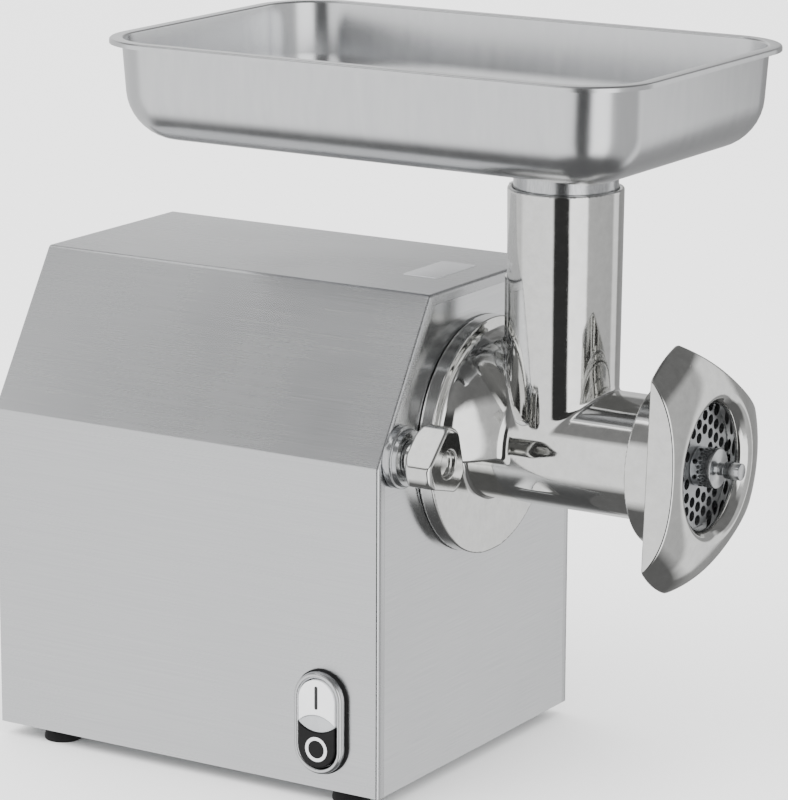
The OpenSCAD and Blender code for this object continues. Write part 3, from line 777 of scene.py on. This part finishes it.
# ------------------------------------------------------------------ switch
@dataclass
class Switch:
    """The two-button switch: rounded bezel, start and stop buttons, lens and marks."""

    bezel_low: Vector = field(default_factory=lambda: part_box("switch_bezel")[0] / MM)
    bezel_high: Vector = field(default_factory=lambda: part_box("switch_bezel")[1] / MM)
    inner_width: float = 24.2
    button_width: float = 23.6
    button_height: float = 50.5
    button_back: float = -106.4
    lens_rise: float = 4.7
    mark_proud: float = 0.12
    mark_deep: float = 0.2
    cap_gap: float = 0.3
    cap_edge: float = 0.7
    lens_edge: float = 0.5
    bar: tuple[float, float, float] = (2.1, 13.5, 15.2)
    ring_mark: tuple[float, float, float] = (5.2, 7.1, -14.6)
    opening: tuple[float, float] = (24.6, 51.4)
    opening_front: float = -111.0
    bezel_flare: float = 0.7
    bezel_crown: float = 2.2
    bezel_back: float = -106.6

    def __post_init__(self) -> None:
        """Work out the middle of the switch on its front face."""
        self.middle = (self.bezel_low + self.bezel_high) / 2
        self.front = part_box("start_button")[0].y / MM

    def hole(self) -> bmesh.types.BMesh:
        """The opening that the cover needs."""
        return stadium(*self.opening, Vector((self.middle.x, self.opening_front, self.middle.z)), 10)

    def bezel(self) -> bmesh.types.BMesh:
        """Round the bezel ring like a flattened torus.

        Returns:
            The ring.
        """
        width = self.bezel_high.x - self.bezel_low.x + 2 * self.bezel_flare
        height = self.bezel_high.z - self.bezel_low.z + 2 * self.bezel_flare
        band = (width - self.inner_width) / 2
        crown = self.bezel_low.y + self.bezel_crown
        section = [(0.0, self.bezel_back)]
        for k in range(13):
            turn = pi * k / 12
            section.append((band / 2 * (1 - cos(turn)), crown - self.bezel_crown * sin(turn)))
        section.append((band, self.bezel_back))
        bm = bmesh.new()
        loops = []
        for inward, y in section:
            half = width / 2 - inward
            straight = (height - width) / 2
            ends = [(half * cos(pi * k / 48), straight + half * sin(pi * k / 48)) for k in range(49)]
            loops.append(self.loop(bm, ends + [(-x, -z) for x, z in ends], y))
        skin(bm, loops + loops[:1])
        outward(bm)
        return bm

    def loop(self, bm: bmesh.types.BMesh, outline: list[tuple[float, float]], y: float) -> list:
        """Lay one outline, given in millimetres from the switch's middle, across Y."""
        return ring(bm, [((self.middle.x + x) * MM, y * MM, (self.middle.z + z) * MM) for x, z in outline])

    def arc_above(self, rise: float, offset: float, reach: float) -> list[tuple[float, float]]:
        """The upper arc of the lens's pointed outline, moved outwards.

        Args:
            rise: How high the arc is in its middle, in millimetres.
            offset: How far it is moved outwards, in millimetres.
            reach: Half the width over which it is drawn, in millimetres.

        Returns:
            Points as (x, z) in millimetres, from left to right.
        """
        half = self.button_width / 2 + 0.4
        radius = (half * half + rise * rise) / (2 * rise)
        spots = [reach * (2 * k / 40 - 1) for k in range(41)]
        return [(x, ((radius + offset) ** 2 - x * x) ** 0.5 - radius + rise) for x in spots]

    def button_outline(self, inward: float, side: int) -> list[tuple[float, float]]:
        """Outline of a button, moved inwards: half a stadium whose inner edge follows the lens."""
        reach = self.button_width / 2 - inward
        straight = (self.button_height - self.button_width) / 2
        points = self.arc_above(self.lens_rise + self.cap_gap, inward, reach)
        points += [(reach * cos(pi * k / 48), straight + reach * sin(pi * k / 48)) for k in range(49)]
        return [(x, side * z) for x, z in points]

    def lens_outline(self, inward: float) -> list[tuple[float, float]]:
        """Outline of the lens, moved inwards."""
        arc = self.arc_above(self.lens_rise, -inward, self.button_width / 2 - 0.1 - inward)
        return arc + [(x, -z) for x, z in reversed(arc)]

    def capped(self, outline: Callable[[float], list[tuple[float, float]]], front: float,
               edge: float) -> bmesh.types.BMesh:
        """Build a cap from its outline, with a rounded front edge.

        Args:
            outline: Gives the cap's outline, moved inwards by so many millimetres.
            front: Where its front face lies along Y in millimetres.
            edge: Radius of its front edge in millimetres.

        Returns:
            The cap.
        """
        turns = [pi / 2 * k / 5 for k in range(6)]
        layers = [(0.0, self.button_back)]
        layers += [(edge * (1 - cos(t)), front + edge * (1 - sin(t))) for t in turns]
        bm = bmesh.new()
        loops = [self.loop(bm, outline(inward), y) for inward, y in layers]
        skin(bm, loops)
        for end in (loops[0], loops[-1]):
            bmesh.ops.triangle_fill(bm, edges=end, use_beauty=True)
        outward(bm)
        return bm

    def button(self, side: int) -> bmesh.types.BMesh:
        """Shape one button: side is 1 for the upper, start one and -1 for the lower, stop one."""
        return self.capped(lambda inward: self.button_outline(inward, side), self.front, self.cap_edge)

    def lens(self) -> bmesh.types.BMesh:
        """Shape the satin lens between the two buttons."""
        return self.capped(self.lens_outline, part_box("pilot_lens")[0].y / MM, self.lens_edge)

    def on_bar(self) -> bmesh.types.BMesh:
        """The slim upright bar on the start button."""
        width, height, rise = self.bar
        place = Vector((self.middle.x, self.front - self.mark_proud, self.middle.z + rise))
        return stadium(width, height, place, self.mark_proud + self.mark_deep, 24)

    def off_ring(self) -> bmesh.types.BMesh:
        """The ring on the stop button."""
        inner, outer, rise = self.ring_mark
        face, back = self.front - self.mark_proud, self.front + self.mark_deep
        return turned([(face, inner), (face, outer), (back, outer), (back, inner)], Axis.Y,
                      (self.middle.x, 0, self.middle.z + rise), 72)

    def pieces(self) -> list[Piece]:
        """List the switch's pieces."""
        return [
            Piece("bezel_ring", self.bezel(), "bezel_alloy", "base", ("switch_bezel",)),
            Piece("start_cap", self.button(1), "grey_plastic", "start_button", ("start_button",)),
            Piece("stop_cap", self.button(-1), "black_plastic", "stop_button", ("stop_button",)),
            Piece("lens_cap", self.lens(), "lens_plastic", "base", ("pilot_lens",)),
            Piece("start_mark", self.on_bar(), "dark_mark", "start_button", (), "black_plastic"),
            Piece("stop_mark", self.off_ring(), "light_mark", "stop_button", (), "grey_plastic"),
        ]


# ------------------------------------------------------------------ head
@dataclass
class Head:
    """The polished casting: flange, barrel, filling neck, lug and shoulder."""

    flange_radius: float = 67.5
    barrel_radius: float = 34.7
    bore: float = 31.0
    neck_bore: float = 26.5
    seat: float = 41.05
    shoulder: tuple[tuple[float, float], ...] = ((5, 62), (14, 60), (24, 52), (32, 42), (38, 33))
    flange_span: tuple[float, float] = (0.3, 9.4)
    neck_radius: float = 31.0
    neck_taper: float = 1.2
    lug_offset: float = 26.0
    lug_radius: float = 9.0
    lug_foot_radius: float = 10.5
    thread_radius: float = 44.3
    thread_span: tuple[float, float] = (118.4, 137.5)
    pilot_radius: float = 38.0
    bush_bore: float = 16.05
    spigot_bore: float = 29.3
    spigot_deep: float = 35.0
    fine: float = 1.2

    def __post_init__(self) -> None:
        """Take the axis, the neck's place and the heights from the frame."""
        low, high = (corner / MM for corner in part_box("ring_nut"))
        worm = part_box("feed_worm")
        self.axis_z = (worm[0].z + worm[1].z) / 2 / MM
        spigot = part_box("tray_spigot")
        self.neck_x = (spigot[0].x + spigot[1].x) / 2 / MM
        self.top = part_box("head_casting")[1].z / MM
        self.lug_x = self.neck_x - self.lug_offset

    def shape(self, p: np.ndarray) -> np.ndarray:
        """Signed distance to the casting, in millimetres.

        Args:
            p: Points in millimetres.

        Returns:
            One distance per point.
        """
        head = (0, 0, self.axis_z)
        neck = (self.neck_x, 0, 0)
        lug = (self.lug_x, 0, 0)
        flange = round_rod(p, Axis.X, head, self.flange_radius, self.flange_span, 1.1)
        barrel = round_rod(p, Axis.X, head, self.barrel_radius, (2, 121), 0.5)
        taper = self.neck_radius + self.neck_taper * (p[:, 2] - self.axis_z) / (self.top - self.axis_z)
        tube = round_rod(p, Axis.Z, neck, taper, (self.axis_z - 20, self.top), 1.0)
        radius = np.hypot(p[:, 1], p[:, 2] - self.axis_z)
        lobe = self.axis_z - 4 - p[:, 2]
        for (a0, r0), (a1, r1) in zip(self.shoulder, self.shoulder[1:]):
            run = np.hypot(a1 - a0, r1 - r0)
            plane = ((p[:, 0] - a0) * (r0 - r1) + (radius - r0) * (a1 - a0)) / run
            lobe = both(lobe, plane, 3.0)
        lobe = both(lobe, 3 - p[:, 0], 0.5)
        slim = round_rod(p, Axis.Z, lug, self.lug_radius, (self.axis_z + 20, self.top - 0.5), 1.0)
        thick = round_rod(p, Axis.Z, lug, self.lug_foot_radius, (self.axis_z + 18, self.axis_z + 94), 1.0)
        thread = round_rod(p, Axis.X, head, self.thread_radius, self.thread_span, 0.8)
        pilot = round_rod(p, Axis.X, head, self.pilot_radius, (-14, 1), 0.8)
        outside = flange
        for form, fillet in ((lobe, 3.0), (barrel, 3.5), (tube, 2.2), (join(slim, thick, 0.4), 2.0),
                             (thread, 0.8), (pilot, 0.5)):
            outside = join(outside, form, fillet)
        cuts = join(round_rod(p, Axis.X, head, self.bore, (12, 122), 0.3),
                    round_rod(p, Axis.Z, neck, self.neck_bore, (self.axis_z, self.top + 30), 0.3), 0.6)
        mouth = (self.top - self.spigot_deep, self.top + 30)
        for way, centre, size, span in ((Axis.X, head, self.seat, (121.4, 160)),
                                        (Axis.X, head, self.bush_bore, (-40, 14)),
                                        (Axis.Z, neck, self.spigot_bore, mouth)):
            cuts = join(cuts, round_rod(p, way, centre, size, span, 0.3), 0.3)
        return both(outside, -cuts, 0.7)

    def casting(self) -> bpy.types.Mesh:
        """Mesh the casting from its smooth form."""
        low, high = (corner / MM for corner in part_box("head_casting"))
        return net(self.shape, low, high, self.fine)

    def pieces(self) -> list[Piece]:
        """List the head's pieces."""
        return [Piece("head_cast", self.casting(), "polished_cast", "head", ("head_casting",))]


@dataclass
class RingNut:
    """The three-lobed nut with its domed front, dished mouth and threaded skirt."""

    lobe_radius: float = 72.5
    flat: float = 49.4
    turn: float = -3.7
    dome: float = 42.0
    dome_at: float = 38.0
    front: float = 151.0
    back: float = 132.5
    start: float = 118.0
    skirt: float = 47.0
    thread: float = 44.6
    mouth: float = 34.6
    flare: float = 40.0
    flare_deep: float = 5.0
    thread_end: float = 139.1
    fine: float = 0.8

    def __post_init__(self) -> None:
        """Take the axis height from the frame."""
        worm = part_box("feed_worm")
        self.axis_z = (worm[0].z + worm[1].z) / 2 / MM

    def shape(self, p: np.ndarray) -> np.ndarray:
        """Signed distance to the nut, in millimetres.

        Args:
            p: Points in millimetres.

        Returns:
            One distance per point.
        """
        y, z = p[:, 1], p[:, 2] - self.axis_z
        radius = np.hypot(y, z)
        outline = radius - self.lobe_radius
        for k in range(3):
            a = radians(self.turn + 120 * k + 180)
            outline = both(outline, y * cos(a) + z * sin(a) - self.flat, 1.6)
        centre = self.front - self.dome
        dome = np.hypot(radius - self.dome_at, p[:, 0] - centre) - self.dome
        dome = np.where(radius < self.dome_at, p[:, 0] - self.front, dome)
        body = both(both(outline, dome, 1.4), self.back - p[:, 0], 1.2)
        axis = (0, 0, self.axis_z)
        body = join(body, round_rod(p, Axis.X, axis, self.skirt, (self.start, self.back + 3), 0.8), 1.5)
        cut = join(round_rod(p, Axis.X, axis, self.thread, (self.start - 20, self.thread_end), 0.3),
                   round_rod(p, Axis.X, axis, self.mouth, (self.start, self.front + 20), 0.3), 0.3)
        slope = (self.flare - self.mouth) / self.flare_deep
        inner = self.front - self.flare_deep
        cone = (radius - self.mouth - (p[:, 0] - inner) * slope) / np.hypot(1, slope)
        cut = join(cut, both(cone, inner - 0.5 - p[:, 0], 0.3), 2.0)
        return both(body, -cut, 1.6)

    def mesh(self) -> bpy.types.Mesh:
        """Mesh the nut from its smooth form."""
        low, high = (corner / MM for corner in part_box("ring_nut"))
        return net(self.shape, low, high, self.fine)

    def pieces(self) -> list[Piece]:
        """List the nut's pieces."""
        return [Piece("ring_nut_cast", self.mesh(), "polished_cast", "nut", ("ring_nut",))]


@dataclass
class Worm:
    """The feed screw with its square tang, shaft, flight and front stud."""

    core: float = 12.0
    flight: float = 30.3
    turns: float = 3.2
    flight_span: tuple[float, float] = (15.0, 118.0)
    flight_width: float = 3.4
    tang_side: float = 16.0
    tang_end: float = 14.1

    def __post_init__(self) -> None:
        """Take its axis and ends from the frame."""
        self.low, self.high = (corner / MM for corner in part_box("feed_worm"))
        self.axis_z = (self.low.z + self.high.z) / 2
        self.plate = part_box("perforated_plate")[1].x / MM

    def shaft(self) -> bmesh.types.BMesh:
        """Turn the shaft, collar, groove and end pin, and square off the tang.

        Returns:
            The shaft's mesh.
        """
        at = self.plate
        profile = [(-14.2, 0), (-14.2, 10.95), (14.4, 10.95), (14.4, self.core), (120.8, self.core),
                   (120.8, 7), (at + 0.2, 7), (at + 0.2, 11), (at + 12.4, 11), (at + 12.6, 3.4), (at + 16.5, 3.4),
                   (at + 16.7, 4.7), (at + 26.4, 4.7), (at + 26.4, 0)]
        bm = turned(profile, Axis.X, (0, 0, self.axis_z), 96, 0.45)
        tang = bmesh.ops.create_cube(bm, size=self.tang_side * MM)["verts"]
        bmesh.ops.scale(bm, verts=tang, vec=((-self.tang_end - self.low.x) / self.tang_side, 1, 1))
        middle = (self.low.x - self.tang_end) / 2
        bmesh.ops.translate(bm, verts=tang, vec=(middle * MM, 0, self.axis_z * MM))
        soften(bm, list({e for v in tang for e in v.link_edges}), 0.8, 2)
        return bm

    def screw(self) -> bmesh.types.BMesh:
        """Sweep the flight round the core.

        Returns:
            The flight's mesh.
        """
        bm = bmesh.new()
        start, end = self.flight_span
        thick = self.flight_width
        lead = (end - start - thick) / self.turns
        profile = [(start, self.core - 1), (start + thick, self.core - 1), (start + thick - 0.8, self.flight),
                   (start + 0.8, self.flight)]
        edges = ring(bm, [(a * MM, r * MM, self.axis_z * MM) for a, r in profile])
        face = bm.faces.new(list(bm.verts))
        steps = int(self.turns * 64)
        bmesh.ops.spin(bm, geom=[face, *edges, *bm.verts], cent=(0, 0, self.axis_z * MM), axis=(1, 0, 0),
                       dvec=(lead * self.turns / steps * MM, 0, 0), angle=self.turns * TURN, steps=steps,
                       use_duplicate=False)
        bmesh.ops.remove_doubles(bm, verts=list(bm.verts), dist=0.001 * MM)
        holes = [e for e in bm.edges if len(e.link_faces) == 1]
        bmesh.ops.holes_fill(bm, edges=holes, sides=0)
        outward(bm)
        return bm

    def pieces(self) -> list[Piece]:
        """List the worm's pieces."""
        return [Piece("worm_shaft", self.shaft(), "machined_steel", "worm", ("feed_worm",)),
                Piece("worm_flight", self.screw(), "polished_cast", "worm", (), "machined_steel")]


@dataclass
class Clamp:
    """The side clamp: a three-sided polished knob and its collar."""

    tip: float = 20.2
    flat: float = 14.8
    turn: float = 15.0
    recess: float = 7.6
    fine: float = 0.5

    def __post_init__(self) -> None:
        """Take the knob's axis from the frame."""
        low, high = (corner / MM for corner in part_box("clamp_stud"))
        self.axis = (0, (low.y + high.y) / 2, (low.z + high.z) / 2)
        self.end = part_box("clamp_knob")[1].x / MM

    def shape(self, p: np.ndarray) -> np.ndarray:
        """Signed distance to the knob, in millimetres.

        Args:
            p: Points in millimetres.

        Returns:
            One distance per point.
        """
        y, z = p[:, 1] - self.axis[1], p[:, 2] - self.axis[2]
        radius = np.hypot(y, z)
        outline = radius - self.tip
        for k in range(3):
            a = radians(self.turn + 120 * k)
            outline = both(outline, y * cos(a) + z * sin(a) - self.flat, 1.2)
        front = p[:, 0] - self.end
        chamfer = (radius + front * 1.1 - self.tip + 1.8) / 1.48
        body = both(both(outline, front, 1.4), chamfer, 1.2)
        back = (radius - (p[:, 0] - 14) * 1.2 - 16.4) / 1.56
        body = both(body, both(14 - p[:, 0], back, 1.0), 1.0)
        body = join(body, round_rod(p, Axis.X, self.axis, 11.0, (8.05, 20), 0.6), 1.2)
        cup = round_rod(p, Axis.X, self.axis, self.recess, (self.end - 3, self.end + 6), 0.6)
        return both(body, -cup, 1.0)

    def knob(self) -> bpy.types.Mesh:
        """Mesh the knob from its smooth form."""
        low, high = (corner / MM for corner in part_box("clamp_knob"))
        return net(self.shape, low, high, self.fine)

    def collar(self) -> bmesh.types.BMesh:
        """Turn the stepped collar behind the knob."""
        return turned([(0.4, 6.0), (0.4, 17.5), (4.4, 17.5), (4.6, 16.2), (5.2, 15.6), (7.9, 15.6),
                       (7.9, 6.0)], Axis.X, self.axis, 96, 0.4)

    def pieces(self) -> list[Piece]:
        """List the clamp's pieces."""
        return [Piece("knob_cast", self.knob(), "polished_cast", "clamp", ("clamp_knob",)),
                Piece("collar_turned", self.collar(), "machined_steel", "clamp", ("clamp_washer",))]


# ------------------------------------------------------------------ tray
@dataclass
class Tray:
    """The deep-drawn tray with its flat rim, turned-down lip and welded spigot."""

    rim: float = 8.0
    lip: float = 3.0
    corner: float = 40.0
    draft: float = 3.0
    fillet: float = 26.0
    sheet: float = 1.2
    rim_bend: float = 1.3
    spigot_bore: float = 27.6

    def __post_init__(self) -> None:
        """Take the tray's box and the spigot's place from the frame."""
        self.low, self.high = (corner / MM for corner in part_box("feed_tray"))
        low, high = (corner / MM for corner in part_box("tray_spigot"))
        self.spigot = ((low.x + high.x) / 2, (low.y + high.y) / 2, 0)
        self.spigot_low, self.spigot_radius = low.z, (high.x - low.x) / 2

    def basin(self) -> bpy.types.Mesh:
        """Draw the basin, turn out its rim and give the sheet its thickness.

        Returns:
            The tray's mesh.
        """
        bm = bmesh.new()
        bmesh.ops.create_cube(bm, size=1.0)
        low = Vector((self.low.x + self.rim, self.low.y + self.rim, self.low.z))
        high = Vector((self.high.x - self.rim, self.high.y - self.rim, self.high.z))
        bmesh.ops.scale(bm, verts=list(bm.verts), vec=(high - low) * MM)
        bmesh.ops.translate(bm, verts=list(bm.verts), vec=(low + high) / 2 * MM)
        middle = (low + high) / 2 * MM
        for v in bm.verts:
            if v.co.z < middle.z:
                v.co.x += self.draft * MM * (1 if v.co.x < middle.x else -1)
                v.co.y += self.draft * MM * (1 if v.co.y < middle.y else -1)
        top = [f for f in bm.faces if f.normal.z > 0.9]
        bmesh.ops.delete(bm, geom=top, context="FACES_ONLY")
        upright = [e for e in bm.edges if abs(e.verts[0].co.z - e.verts[1].co.z) > 0.01]
        soften(bm, upright, self.corner - self.rim, 14)
        floor = [f for f in bm.faces if f.normal.z < -0.9]
        rim_of_floor = list({e for f in floor for e in f.edges})
        soften(bm, rim_of_floor, self.fillet, 10)
        edge = [e for e in bm.edges if len(e.link_faces) == 1]
        edge = self.turn_out(bm, edge, self.rim)
        swept = bmesh.ops.extrude_edge_only(bm, edges=edge)
        down = [g for g in swept["geom"] if isinstance(g, bmesh.types.BMVert)]
        bmesh.ops.translate(bm, verts=down, vec=(0, 0, -self.lip * MM))
        top_edges = [e for e in bm.edges if all(v.co.z > (self.high.z - 0.01) * MM for v in e.verts)
                     and len(e.link_faces) == 2 and e.calc_face_angle(0) > 0.7]
        soften(bm, top_edges, self.rim_bend, 4)
        outward(bm)
        bm.normal_update()
        if min(bm.faces, key=lambda f: f.calc_center_median().z).normal.z > 0:
            bmesh.ops.reverse_faces(bm, faces=list(bm.faces))
            bm.normal_update()
        bmesh.ops.solidify(bm, geom=list(bm.faces), thickness=-self.sheet * MM)
        outward(bm)
        z = self.low.z
        hole = turned([(z - 3, 0), (z - 3, self.spigot_bore), (z + 6, self.spigot_bore), (z + 6, 0)],
                      Axis.Z, self.spigot, 128)
        return carve(bm, hole)

    def turn_out(self, bm: bmesh.types.BMesh, edges: list, width: float) -> list:
        """Extrude an edge loop outwards by a width that is even round the corners.

        Args:
            bm: The tray's mesh.
            edges: The loop.
            width: The rim's width in millimetres.

        Returns:
            The rim's outer edges.
        """
        swept = bmesh.ops.extrude_edge_only(bm, edges=edges)
        for v in (g for g in swept["geom"] if isinstance(g, bmesh.types.BMVert)):
            x, y = (min(max(v.co[i], (self.low[i] + self.corner) * MM), (self.high[i] - self.corner) * MM)
                    for i in (0, 1))
            centre = Vector((x, y, v.co.z))
            v.co += (v.co - centre).normalized() * width * MM
        return [g for g in swept["geom"] if isinstance(g, bmesh.types.BMEdge)]

    def neck(self) -> bmesh.types.BMesh:
        """Turn the spigot that drops into the head's neck."""
        low, high = self.spigot_low, self.low.z
        return turned([(low, self.spigot_bore), (low, self.spigot_radius), (high - 1.2, self.spigot_radius),
                       (high - 0.1, self.spigot_radius), (high - 0.1, self.spigot_bore)],
                      Axis.Z, self.spigot, 128, 0.3)

    def pieces(self) -> list[Piece]:
        """List the tray's pieces."""
        return [Piece("tray_drawn", self.basin(), "drawn_sheet", "tray", ("feed_tray",)),
                Piece("spigot_turned", self.neck(), "machined_steel", "tray", ("tray_spigot",))]


# ------------------------------------------------------------------ studio
@dataclass
class Studio:
    """The pale floor, the soft surroundings, one soft lamp and the camera."""

    camera_at: Vector = Vector((1.0723, -1.8175, 0.7227))
    azimuth: float = 31.84
    elevation: float = 13.57
    roll: float = 0.21
    lens: float = 173.8
    floor_half: float = 12.0
    mirror_strength: float = 1.55
    fill_strength: float = 3.2
    lamp_at: Vector = Vector((-0.9, -1.5, 1.9))
    lamp_aim: Vector = Vector((-0.05, 0, 0.15))
    lamp_size: tuple[float, float] = (1.6, 1.2)
    lamp_power: float = 30.0

    def camera(self) -> None:
        """Place the camera and make it the scene's."""
        a, e = radians(self.azimuth), radians(self.elevation)
        back = Vector((sin(a) * cos(e), -cos(a) * cos(e), sin(e)))
        right = Vector((cos(a), sin(a), 0))
        up = back.cross(right)
        turn = Matrix.Rotation(radians(self.roll), 3, back)
        data = bpy.data.cameras.new("camera")
        data.lens = self.lens
        data.sensor_width = 36
        data.clip_end = 50
        made = bpy.data.objects.new("camera", data)
        basis = Matrix((turn @ right, turn @ up, turn @ back)).transposed()
        made.matrix_world = Matrix.Translation(self.camera_at) @ basis.to_4x4()
        bpy.context.scene.collection.objects.link(made)
        bpy.context.scene.camera = made

    def floor(self) -> None:
        """Lay the plain pale floor."""
        bm = bmesh.new()
        bmesh.ops.create_grid(bm, x_segments=2, y_segments=2, size=self.floor_half)
        made = as_object(bm, "floor")
        paint = bpy.data.materials.new("floor_paint")
        paint.use_nodes = True
        shader = paint.node_tree.nodes["Principled BSDF"]
        shader.inputs["Base Color"].default_value = linear("f4f4f4")
        shader.inputs["Roughness"].default_value = 1.0
        shader.inputs["Specular IOR Level"].default_value = 0.0
        made.data.materials.append(paint)
        made.visible_glossy = False

    def surroundings(self) -> None:
        """Paint what the polished metal mirrors: soft boxes, dark gaps and a dark ceiling."""
        world = bpy.data.worlds.new("soft_studio")
        world.use_nodes = True
        bpy.context.scene.world = world
        tree = world.node_tree
        tree.nodes.clear()
        way = add(tree, "ShaderNodeTexCoord").outputs["Generated"]
        parts = add(tree, "ShaderNodeSeparateXYZ", inputs={0: way})
        flipped = add(tree, "ShaderNodeMath", {"operation": "MULTIPLY"}, {0: parts.outputs["Y"], 1: -1.0})
        angle = add(tree, "ShaderNodeMath", {"operation": "ARCTAN2"}, {
            0: parts.outputs["X"], 1: flipped.outputs[0]})
        around = add(tree, "ShaderNodeMapRange", inputs={
            "Value": angle.outputs[0], "From Min": -pi, "From Max": pi}).outputs["Result"]
        rise = add(tree, "ShaderNodeMath", {"operation": "ARCSINE"}, {0: parts.outputs["Z"]})
        height = add(tree, "ShaderNodeMapRange", inputs={
            "Value": rise.outputs[0], "From Min": -pi / 2, "From Max": pi / 2}).outputs["Result"]

        def at(azimuth: float) -> float:
            """Place of an azimuth in degrees on the ramp."""
            return (azimuth + 180) / 360

        def up(elevation: float) -> float:
            """Place of an elevation in degrees on the ramp."""
            return (elevation + 90) / 180

        horizon = ramp(tree, around, [
            (at(-180), 0.25), (at(-160), 0.30), (at(-146), 0.75), (at(-120), 0.65), (at(-70), 0.62),
            (at(-62), 0.95), (at(4), 1.0), (at(8), 0.03), (at(36), 0.03), (at(39), 1.6), (at(72), 1.5),
            (at(76), 0.45), (at(136), 0.40), (at(142), 0.85), (at(156), 0.80), (at(160), 0.25),
            (at(180), 0.25)])
        ceiling = ramp(tree, around, [
            (at(-180), 0.16), (at(-100), 0.18), (at(-60), 0.16), (at(-53), 0.16), (at(-51), 1.3),
            (at(-49), 1.3), (at(-46), 0.18), (at(0), 0.18), (at(60), 0.12), (at(180), 0.12)])
        band = ramp(tree, height, [(up(-52), 0.0), (up(-40), 1.0), (up(24), 1.0), (up(32), 0.0)])
        above = ramp(tree, height, [(up(24), 0.0), (up(32), 1.0), (up(60), 1.0), (up(75), 0.6)])
        strip = ramp(tree, height, [(up(50), 0.0), (up(53), 1.0), (up(58), 1.0), (up(61), 0.0)])
        strip_span = ramp(tree, around, [(at(-152), 0.0), (at(-146), 1.0), (at(-5), 1.0), (at(2), 0.0)])
        below = ramp(tree, height, [(up(-52), 0.10), (up(-40), 0.0)])
        total = below
        for light, span in ((horizon, band), (ceiling, above), (strip, strip_span)):
            lit = add(tree, "ShaderNodeMix", {"data_type": "RGBA", "blend_type": "MULTIPLY"}, {
                0: 1.0, 6: light, 7: span}).outputs[2]
            total = add(tree, "ShaderNodeMix", {"data_type": "RGBA", "blend_type": "ADD"}, {
                0: 1.0, 6: total, 7: lit}).outputs[2]
        mirror = add(tree, "ShaderNodeBackground", inputs={
            "Color": total, "Strength": self.mirror_strength})
        plain = add(tree, "ShaderNodeBackground", inputs={
            "Color": linear("fafafa"), "Strength": self.fill_strength})
        path = add(tree, "ShaderNodeLightPath")
        pick = add(tree, "ShaderNodeMixShader", inputs={
            0: path.outputs["Is Glossy Ray"], 1: plain.outputs[0], 2: mirror.outputs[0]})
        add(tree, "ShaderNodeOutputWorld", inputs={"Surface": pick.outputs[0]})

    def lamps(self) -> None:
        """Hang one large soft lamp over the switch side for gentle shadows."""
        data = bpy.data.lights.new("soft_lamp", "AREA")
        data.shape = "RECTANGLE"
        data.size, data.size_y = self.lamp_size
        data.energy = self.lamp_power
        made = bpy.data.objects.new("soft_lamp", data)
        made.location = self.lamp_at
        aim = self.lamp_aim - self.lamp_at
        made.rotation_euler = aim.to_track_quat("-Z", "Y").to_euler()
        made.visible_glossy = False
        bpy.context.scene.collection.objects.link(made)


def main() -> None:
    """Build every sub-assembly in order and report each piece."""
    logging.basicConfig(level=logging.INFO, format="%(name)s %(message)s")
    finishes = Finishes()
    finishes.dress_frame()
    switch = Switch()
    pieces = Casing().pieces(switch.hole()) + switch.pieces()
    for assembly in (Head(), RingNut(), Worm(), Clamp(), Tray()):
        pieces += assembly.pieces()
    for piece in pieces:
        piece.place(finishes)
    studio = Studio()
    studio.camera()
    studio.floor()
    studio.surroundings()
    studio.lamps()


if __name__ == "__main__":
    main()
